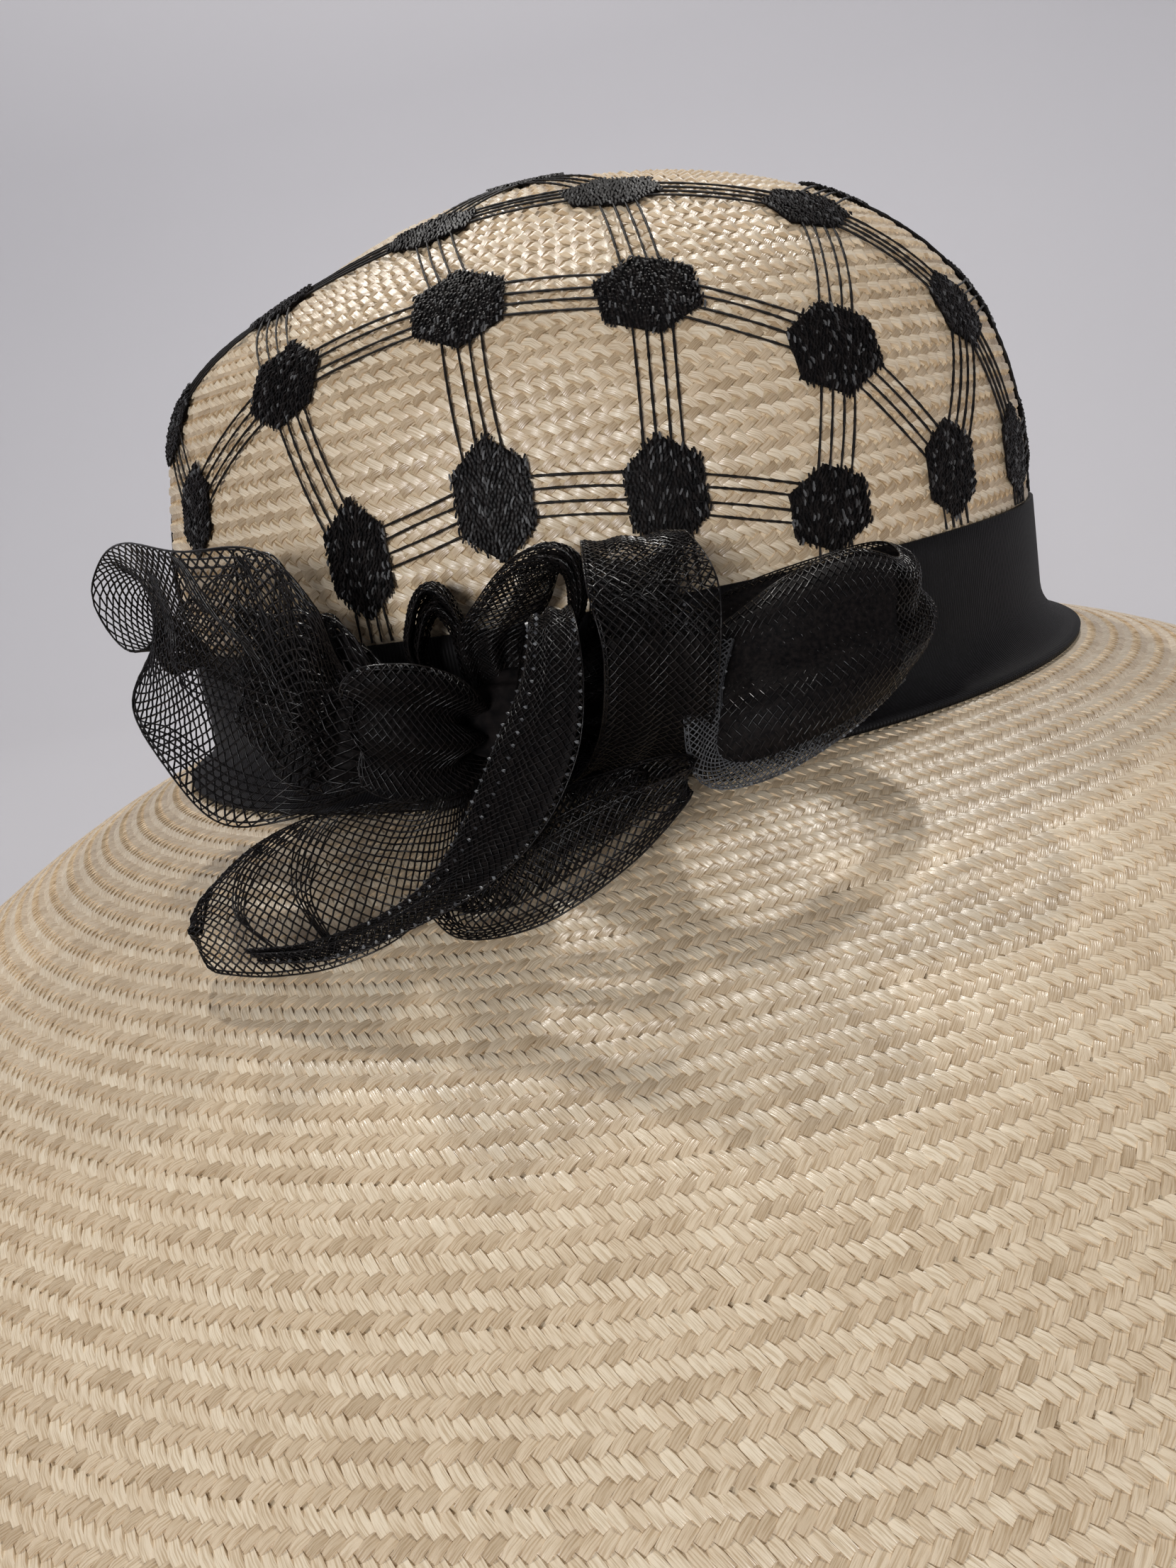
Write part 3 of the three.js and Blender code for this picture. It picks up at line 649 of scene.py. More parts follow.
def crown_wall():
    lifts = np.append(np.linspace(0, math.pi / 2, CROWN_STEPS)[:-1], math.pi / 2 - POLE_GAP)
    foot = ROOT_Z + JOIN_RISE + SEAT_GAP
    sides = []
    for sink in (CROWN_STRAW["wall_sink"], STRAW_WALL):
        side = [lambda az, sink=sink: oval(az, -sink, foot)]
        side += [lambda az, lift=lift, sink=sink: crown_point(az, lift, -sink) for lift in lifts]
        sides.append(side)
    levels = np.concatenate([[FOOT_LEVEL], lifts * CROWN_HALF_X / CROWN_STRAW["period"]])
    return straw_wall("crown_wall", sides, levels, CROWN_STRAW["plaits"])


brim_body = brim_wall()
crown_body = crown_wall()
print("wall triangles:", triangles(brim_body), triangles(crown_body))

# %% Rows of floats
ROW_BLOCK = 8
RING_STEPS = 240
SECTOR_STEPS = 60
FEWEST_FLOATS = 5
FLOAT_OVERLAP = 1.3
CROWDING = 1.25


def strand_sizes(straw):
    """A twill of crossed strands: their lean to the row, their spacing along each other and their width."""
    lean = math.atan2(straw["period"], 2 * straw["pitch"])
    spacing = straw["pitch"] / (2 * math.cos(lean))
    return lean, spacing, spacing * math.sin(2 * lean)


def ring_length(points):
    return np.linalg.norm(points - np.roll(points, -1, axis=0), axis=1).sum()


def float_rows(surface, length, straw, sector=None):
    """A line for each row: surface gives points and outward directions for an azimuth and a level."""
    lean = strand_sizes(straw)[0]
    levels = np.arange(straw["first"], length - straw["clear"], straw["period"] / 2)
    full = np.linspace(0, 2 * math.pi, RING_STEPS, endpoint=False)
    lines = []
    for number, level in enumerate(levels):
        block = levels[(number // ROW_BLOCK) * ROW_BLOCK:][:ROW_BLOCK]
        shared = ring_length(surface(full, block[len(block) // 2])[0])
        own = ring_length(surface(full, level)[0])
        count = max(FEWEST_FLOATS, round(min(shared, own * CROWDING) / straw["pitch"]))
        back = number % 2
        shift = math.pi + (0.5 if back else 0.0) * 2 * math.pi / count
        azimuth = shift + full
        if sector is not None:
            first, last = (math.ceil((side - shift) / (2 * math.pi) * count) for side in sector)
            azimuth = shift + np.linspace(first, last - 1, SECTOR_STEPS) * 2 * math.pi / count
            count = last - first
        points, outward = surface(azimuth, level)
        lines.append({
            "points": points - straw["sink"] * back * outward, "outward": outward,
            "floats": count, "closed": sector is None,
            "lean": lean if back else -lean, "painted_shade": straw["back_painted_shade"] * back,
        })
    return lines


print("lean of a crown float in degrees:", round(math.degrees(strand_sizes(CROWN_STRAW)[0]), 1))

# %% Floats of the crown and of the brim
FLOAT_SEAT = 0.2
FLOAT_UNEVENNESS = 3.0
MERIDIAN = 0.6
MERIDIAN_STEPS = 400
CROWN_SEED = 11
BRIM_SEED = 20
BRIM_SECTORS = {
    "brim_floats_front": (-50, 50),
    "brim_floats_right": (50, 165),
    "brim_floats_back": (165, 240),
    "brim_floats_left": (240, 310),
}
crown_lifts = np.linspace(0, math.pi / 2, MERIDIAN_STEPS)
meridian = crown_surface(MERIDIAN, crown_lifts)
crown_lengths = np.concatenate([[0], np.cumsum(np.linalg.norm(np.diff(meridian, axis=0), axis=1))])


def crown_row(azimuth, along):
    lift = np.interp(along, crown_lengths, crown_lifts)
    return crown_point(azimuth, lift, -FLOAT_SEAT), crown_outward(azimuth, lift)


def brim_row(azimuth, along):
    step, turn = 1.0, 0.01
    down = brim_point(azimuth, along + step) - brim_point(azimuth, along - step)
    round_way = brim_point(azimuth + turn, along) - brim_point(azimuth - turn, along)
    return brim_point(azimuth, along, -FLOAT_SEAT), unit(np.cross(down, round_way))


def straw_floats(name, lines, straw, seed):
    _, spacing, width = strand_sizes(straw)
    size = {"length": 2 * spacing * FLOAT_OVERLAP, "width": width * straw["fill"], "rise": straw["rise"],
            "unevenness": FLOAT_UNEVENNESS, "scatter": 0.0}
    return lay_floats(name, lines, size, seed, STRAW)


crown_rows = float_rows(crown_row, crown_lengths[-1], CROWN_STRAW)
crown_floats = straw_floats("crown_floats", crown_rows, CROWN_STRAW, CROWN_SEED)
brim_floats = []
for seed, (name, sector) in enumerate(BRIM_SECTORS.items()):
    rows = float_rows(brim_row, BRIM_LENGTH, BRIM_STRAW, np.radians(sector))
    brim_floats.append(straw_floats(name, rows, BRIM_STRAW, BRIM_SEED + seed))

# %% [markdown]
# ## The ribbed band
# The band is a stiff ribbed ribbon that lies flat on the crown and flares over the root of the brim. Its ribs
# are finer than a millimetre, so they are drawn as bump along a count kept in the piece's own UV map, with a
# soft gloss. The colour follows the ribs as well, darker in the valleys and paler on the crests: painted
# shade and highlight. A noise adds paler patches of dust.

# %% Band
BAND_RIBS = 900
BAND_COLUMNS = 216
BAND_LEVELS = 6
BAND_TURNS = 9
BAND_BLACK = (0.0045, 0.0040, 0.0042)
BAND_DUST_AND_HIGHLIGHT = (0.0105, 0.0095, 0.0100)
BAND_RIB_SHADE_AND_DUST = {"rib": 0.6, "dust": 0.7}
BAND_SPECKS = 260.0
BAND_RELIEF = 0.7
BAND_DEPTH = 0.5
BAND_ROUGHNESS = 0.55
BAND_GLOSS = 0.16


def band_material():
    material, tree, shader = new_material("petersham")
    counted = add(tree, "ShaderNodeUVMap", uv_map="ribs").outputs["UV"]
    rib = add(tree, "ShaderNodeSeparateXYZ", {"Vector": counted}).outputs["X"]
    wave = math_node(tree, "PINGPONG", rib, 0.5)
    dust = math_node(tree, "MULTIPLY", noise(tree, object_place(tree), BAND_SPECKS, 4.0), BAND_RIB_SHADE_AND_DUST["dust"])
    # Rib valleys darker, crests paler: painted shade and highlight, with dust on top.
    rib_shade_and_dust = math_node(tree, "MULTIPLY_ADD", wave, BAND_RIB_SHADE_AND_DUST["rib"], dust)
    tree.links.new(ramp(tree, rib_shade_and_dust, [(0.25, BAND_BLACK), (0.85, BAND_DUST_AND_HIGHLIGHT)]), shader.inputs["Base Color"])
    add_bump(tree, shader, wave, BAND_RELIEF, BAND_DEPTH)
    set_gloss(shader, BAND_ROUGHNESS, BAND_GLOSS)
    return material


def band_ring():
    levels = np.linspace(BAND_TOP_Z, ROOT_Z + ROOT_RISE, BAND_LEVELS)[:-1]
    sides = []
    for gap in (SEAT_GAP + BAND_WALL, SEAT_GAP):
        radius = ROOT_RADIUS - gap
        places = [(gap, z) for z in levels]
        for turn in np.linspace(0, ROOT_TURN, BAND_TURNS):
            z = ROOT_Z + ROOT_RISE - radius * math.sin(turn)
            places.append((ROOT_RADIUS - radius * math.cos(turn), z))
        sides.append([lambda az, out=out, z=z: oval(az, out, z) for out, z in places])
    profile = sides[0] + sides[1][::-1]
    piece = turned_shell("hat_band_ribbed", profile, band_material(), BAND_COLUMNS)
    lattice_uv(piece, "ribs", BAND_COLUMNS, BAND_RIBS, np.arange(len(profile)) / 2)
    return piece


band = band_ring()
print("band triangles:", triangles(band))

# %% [markdown]
# ## The lace
# Embroidered patches sit on the crown and bars of four threads join them. A chart gives the patches
# on the bow's side, and even rings give the far side. Each patch is a thin pad covered in leaning stitches:
# the tree that laid the straw lays them too. The threads are lines that a second tree turns into thin uneven
# tubes.

# %% Lace chart
# Each row: azimuth, rise over the band, width, height, and the earlier rows that bars join it to
LACE_FRONT = [
    (-50, 29, 12, 18, []), (-22, 15, 12, 21, []), (-6, 21, 13, 21, [1]), (11, 17, 13, 19, [2]),
    (28, 9, 15, 15, [3]), (46, 11, 13, 18, []), (64, 11, 13, 18, []), (-63, 46, 15, 17, [0]),
    (-32, 47, 15, 17, [0, 1]), (-8, 53, 16, 17, [2, 8]), (14, 49, 17, 16, [3, 9]),
    (33, 35, 17, 17, [4, 5, 10]), (58, 39, 14, 16, [5, 6]), (-50, 65, 16, 15, [7, 8]),
    (-18, 71, 17, 15, [9, 13]), (17, 70, 17, 15, [10, 14]), (45, 61, 17, 15, [11, 12, 15]),
]
# Each ring: rise, first and last azimuth, count, width and height
LACE_RINGS = [
    (13, 82, 285, 9, 13, 18), (43, 80, 275, 7, 15, 17), (67, 75, 280, 5, 16, 15), (80, 0, 240, 3, 15, 15),
]
LACE_LIFT = 0.5
LACE_WALL = 1.0
LONGEST_BAR = 46.0
BAR_ROOT = 0.3
HEM_RISE = 0.4
HALVINGS = 30


def crown_place(points):
    """The azimuth and lift that points near the crown belong to."""
    azimuth = np.arctan2(points[..., 0] / CROWN_HALF_X, -points[..., 1] / CROWN_HALF_Y)
    level = (points[..., 2] - BAND_TOP_Z) / CROWN_RISE
    round_ = np.hypot(points[..., 0] / CROWN_HALF_X, points[..., 1] / CROWN_HALF_Y)
    low, high = np.zeros_like(level), np.full_like(level, math.pi / 2)
    for _ in range(HALVINGS):
        lift = (low + high) / 2
        try_level = np.sin(lift) ** CROWN_SHOULDER
        try_round = np.cos(lift) * (1 + CROWN_SWELL * try_level)
        under = try_level * round_ < level * try_round
        low, high = np.where(under, lift, low), np.where(under, high, lift)
    return azimuth, (low + high) / 2


def on_lace(points, out):
    azimuth, lift = crown_place(points)
    return crown_point(azimuth, lift, out), crown_outward(azimuth, lift)


def lace_patch(azimuth, rise, wide, tall):
    azimuth = math.radians(azimuth)
    lift = lift_of_rise(rise)
    outward = crown_outward(azimuth, lift)
    east = np.array([math.cos(azimuth), math.sin(azimuth), 0])
    east = unit(east - east.dot(outward) * outward)
    return {"azimuth": azimuth, "rise": rise, "wide": wide, "tall": tall,
            "centre": crown_point(azimuth, lift), "east": east, "north": np.cross(outward, east)}


def chart_patches():
    patches = [lace_patch(*row[:4]) for row in LACE_FRONT]
    for rise, first, last, count, wide, tall in LACE_RINGS:
        patches += [lace_patch(azimuth, rise, wide, tall) for azimuth in np.linspace(first, last, count)]
    return patches


def are_joined(patches, i, j):
    if j < len(LACE_FRONT):
        return i in LACE_FRONT[j][4]
    centres = np.array([patch["centre"] for patch in patches])
    apart = np.linalg.norm(centres[i] - centres[j])
    from_one = np.linalg.norm(centres - centres[i], axis=1)
    from_two = np.linalg.norm(centres - centres[j], axis=1)
    farther = np.maximum(from_one, from_two)
    farther[[i, j]] = np.inf
    return apart < LONGEST_BAR and not (farther < apart).any()


patches = chart_patches()
print("lace patches:", len(patches))

# %% [markdown]
# Lace thread and ribbon yarn are both black, and black is never one flat value. A fine noise makes darker and
# paler lengths and a nap, and each finish has its own gloss. Stitches are so small that each takes one tone.

# %% Thread materials
THREAD_BLACK = (0.0035, 0.0032, 0.0034)
THREAD_WORN = (0.0135, 0.0108, 0.0100)
# Painted highlight: the paler grey that marked yarns take.
THREAD_PAINTED_SHEEN = (0.068, 0.069, 0.072)
NAP_RELIEF = 0.4
NAP_DEPTH = 0.3


def thread_material(name, roughness, specks, gloss):
    """Black yarn: darker and paler lengths, a fine nap as bump, and a paler grey as painted highlight where
    marked.
    """
    material, tree, shader = new_material(name)
    nap = noise(tree, object_place(tree), specks, 3.0)
    yarn = ramp(tree, nap, [(0.35, THREAD_BLACK), (0.75, THREAD_WORN)])
    sockets = {"Factor": carried(tree, "sheen"), 6: yarn, 7: (*THREAD_PAINTED_SHEEN, 1)}
    colour = add(tree, "ShaderNodeMix", sockets, data_type="RGBA").outputs[2]
    tree.links.new(colour, shader.inputs["Base Color"])
    add_bump(tree, shader, nap, NAP_RELIEF, NAP_DEPTH)
    set_gloss(shader, roughness, gloss)
    return material


LACE_THREAD = thread_material("lace_thread", roughness=0.55, specks=900.0, gloss=0.22)
LACE_PAD = thread_material("lace_pad", roughness=0.8, specks=900.0, gloss=0.05)
CRINOLINE = thread_material("crinoline_yarn", roughness=0.27, specks=700.0, gloss=0.26)
GATHERS = thread_material("crinoline_gathers", roughness=0.8, specks=500.0, gloss=0.05)
PLIES = thread_material("crinoline_plies", roughness=0.6, specks=1500.0, gloss=0.05)
print("made", LACE_THREAD.name, LACE_PAD.name, CRINOLINE.name, GATHERS.name, PLIES.name)

# %% Materials of stitches and of the turns along an edge
STITCH_GLINT = (0.12, 0.12, 0.12)
TURN_DARK = (0.03, 0.03, 0.033)
# Each turn takes a random grey; the pale end is painted glint.
TURN_PAINTED_GLINT = (0.15, 0.155, 0.16)
STITCH_STOPS = [(0.1, THREAD_BLACK), (0.85, THREAD_WORN), (0.985, STITCH_GLINT)]
TURN_STOPS = [(0.15, TURN_DARK), (0.9, TURN_PAINTED_GLINT)]


def toned_material(name, stops, roughness, gloss):
    """Small floats that each take a colour from their own random tone."""
    material, tree, shader = new_material(name)
    tree.links.new(ramp(tree, carried(tree, "tone"), stops), shader.inputs["Base Color"])
    set_gloss(shader, roughness, gloss)
    return material


YARN_TURN = toned_material("crinoline_turn", TURN_STOPS, roughness=0.3, gloss=0.5)
LACE_STITCH = toned_material("lace_stitch", STITCH_STOPS, roughness=0.45, gloss=0.13)
print("made", YARN_TURN.name, LACE_STITCH.name)

# %% Lace patches and their stitches
PAD_SHARE = 0.45
PAD_CORNERS = 12
STITCH = {"length": 1.45, "width": 0.36, "rise": 0.18, "unevenness": 14.0, "scatter": 0.17}
STITCH_SEED = 41
STITCH_ROW = 0.75
STITCH_PITCH = 0.66
STITCH_LEAN = math.radians(80)
STITCH_SHARE = 0.6
FEWEST_STITCHES = 3
ROW_POINTS = 12
ROW_WAVE = 0.3
ROW_WAVE_RATE = 0.8


def hexagon_half(patch, up):
    """Half the width of a point-up hexagon at a height from its middle."""
    return patch["wide"] / 2 * np.clip((patch["tall"] / 2 - np.abs(up)) / (patch["tall"] / 4), 0, 1)


def patch_pads():
    """A thin pad under each patch's stitches: a hexagon with two faces, a rim and a middle point."""
    points, faces = [], []
    corners = np.arange(PAD_CORNERS)
    turns = math.pi / 2 + corners * math.pi / 6
    reach = np.where(corners % 2, math.cos(math.pi / 6), 1.0)
    ring = PAD_CORNERS
    for patch in patches:
        east = np.outer(np.cos(turns) * reach * patch["wide"] / math.sqrt(3), patch["east"])
        north = np.outer(np.sin(turns) * reach * patch["tall"] / 2, patch["north"])
        rim = patch["centre"] + east + north
        base = len(points)
        for out in (LACE_LIFT, LACE_LIFT + LACE_WALL * PAD_SHARE):
            points += list(on_lace(np.vstack([patch["centre"], rim]), out)[0])
        for k in range(ring):
            a, b = base + 1 + k, base + 1 + (k + 1) % ring
            up_a, up_b = a + ring + 1, b + ring + 1
            faces += [[base, b, a], [base + ring + 1, up_a, up_b], [a, b, up_b, up_a]]
    return mesh_piece("lace_pads", points, faces, LACE_PAD)


def stitch_lines():
    lines = []
    for number, patch in enumerate(patches):
        rows = round(patch["tall"] / STITCH_ROW)
        for row in range(rows):
            middle = -patch["tall"] / 2 + (row + 0.5) * patch["tall"] / rows
            half = hexagon_half(patch, middle)
            stagger = STITCH_PITCH / 4 if row % 2 else -STITCH_PITCH / 4
            across = np.linspace(-half, half, ROW_POINTS) + stagger
            up = middle + ROW_WAVE * np.sin(across * ROW_WAVE_RATE + number)
            line = patch["centre"] + np.outer(across, patch["east"]) + np.outer(up, patch["north"])
            points, outward = on_lace(line, LACE_LIFT + LACE_WALL * STITCH_SHARE)
            count = max(FEWEST_STITCHES, round(2 * half / STITCH_PITCH))
            lines.append({"points": points, "outward": outward, "floats": count,
                          "lean": STITCH_LEAN, "painted_shade": 0.0})
    return lines


lace_pads = patch_pads()
lace_stitches = lay_floats("lace_stitches", stitch_lines(), STITCH, STITCH_SEED, LACE_STITCH)

# %% [markdown]
# A thread could be a curve with a bevel, but thousands of curve objects are slow. A second tree takes any
# number of lines in one guide and turns them all into three-sided tubes, a little thicker here and thinner
# there.

# %% The tree that turns lines into thread


def thread_tree():
    tree, given, made = start_tree("thread_along_lines", [
        ("Thickness", "Float"), ("Slub", "Float"), ("Sides", "Int"), ("Seed", "Int"), ("Finish", "Material"),
    ])
    lines = add(tree, "GeometryNodeMeshToCurve", {"Mesh": given["Guide"]}).outputs["Curve"]
    uneven = random_value(tree, given["Seed"], -1.0, 1.0)
    swell = math_node(tree, "MULTIPLY_ADD", uneven, given["Slub"], 1.0)
    radius = math_node(tree, "MULTIPLY", swell, math_node(tree, "MULTIPLY", given["Thickness"], 0.5))
    sides = {"Resolution": given["Sides"], "Radius": 1.0}
    ring = add(tree, "GeometryNodeCurvePrimitiveCircle", sides, mode="RADIUS").outputs["Curve"]
    tube = add(tree, "GeometryNodeCurveToMesh", {
        "Curve": lines, "Profile Curve": ring, "Scale": radius, "Fill Caps": True,
    })
    finish(tree, tube.outputs["Mesh"], given, made)
    return tree


THREADS = thread_tree()


def spin_threads(name, guide, thickness, slub, seed, material):
    """Thread of one thickness, in mm, along every line of a guide."""
    return grow(name, guide, THREADS, {
        "Thickness": thickness * MM, "Slub": slub, "Sides": 3, "Seed": seed, "Finish": material,
    })


print("nodes in the thread tree:", len(THREADS.nodes))

# %% Bars of lace thread
BAR_THREADS = 4
BAR_SPACING = 2.2
BAR_STRAY = 0.2
BAR_SLACK = 0.35
BAR_SEED = 51
STRAY_SEED = 5
THREAD_STEP = 0.7
THREAD_LIFT = 0.75
THREAD_THICKNESS = 0.52
THREAD_SLUB = 0.25


def lace_bars():
    bars = []
    for j, two in enumerate(patches):
        for i, one in enumerate(patches[:j]):
            if are_joined(patches, i, j):
                way = unit(two["centre"] - one["centre"])
                bars.append((one["centre"] + way * BAR_ROOT * min(one["wide"], one["tall"]),
                             two["centre"] - way * BAR_ROOT * min(two["wide"], two["tall"])))
        if two["rise"] < CROWN_RISE / 4:
            foot = crown_point(two["azimuth"], lift_of_rise(HEM_RISE))
            bars.append((two["centre"], foot))
    return bars


def bar_lines():
    lines = []
    random = np.random.default_rng(STRAY_SEED)
    for start, end in lace_bars():
        length = np.linalg.norm(end - start)
        share = np.linspace(0, 1, max(4, round(length / THREAD_STEP)))
        middle = start + np.outer(share, end - start)
        side = unit(np.cross(end - start, on_lace(middle, 0.0)[1]))
        for thread in range(BAR_THREADS):
            stray = random.uniform(-BAR_STRAY, BAR_STRAY)
            across = (thread - (BAR_THREADS - 1) / 2) * BAR_SPACING + stray
            bow = random.uniform(-BAR_SLACK, BAR_SLACK) * np.sin(math.pi * share)
            points = on_lace(middle + side * (across + bow)[:, None], THREAD_LIFT)[0]
            lines.append({"points": points})
    return lines


bar_guide = guide_lines("bar_threads", bar_lines())
lace_threads = spin_threads("lace_threads", bar_guide, THREAD_THICKNESS, THREAD_SLUB, BAR_SEED, LACE_THREAD)

# %% [markdown]
# ## The net bow
# The bow is one long ribbon of crinoline: yarns cross it on the bias, turn round at its edges and come back,
# as in a flat braid. Each loop is a smooth strip between two edges. A yarn is then a zigzag on that strip, so
# a loop needs only its rows of edge points and the size of its mesh. Where the ribbon is gathered, the same
# yarns crowd together and it darkens.

# %% Ribbon loops
BOW_AZIMUTH = math.radians(-8)
BOW_RIGHT = np.array([math.cos(BOW_AZIMUTH), math.sin(BOW_AZIMUTH), 0])
BOW_OUT = np.array([math.sin(BOW_AZIMUTH), -math.cos(BOW_AZIMUTH), 0])
BOW_UP = np.array([0, 0, 1.0])
BOW_SEAT = np.array([CROWN_HALF_X * math.sin(BOW_AZIMUTH), -CROWN_HALF_Y * math.cos(BOW_AZIMUTH), ROOT_Z])
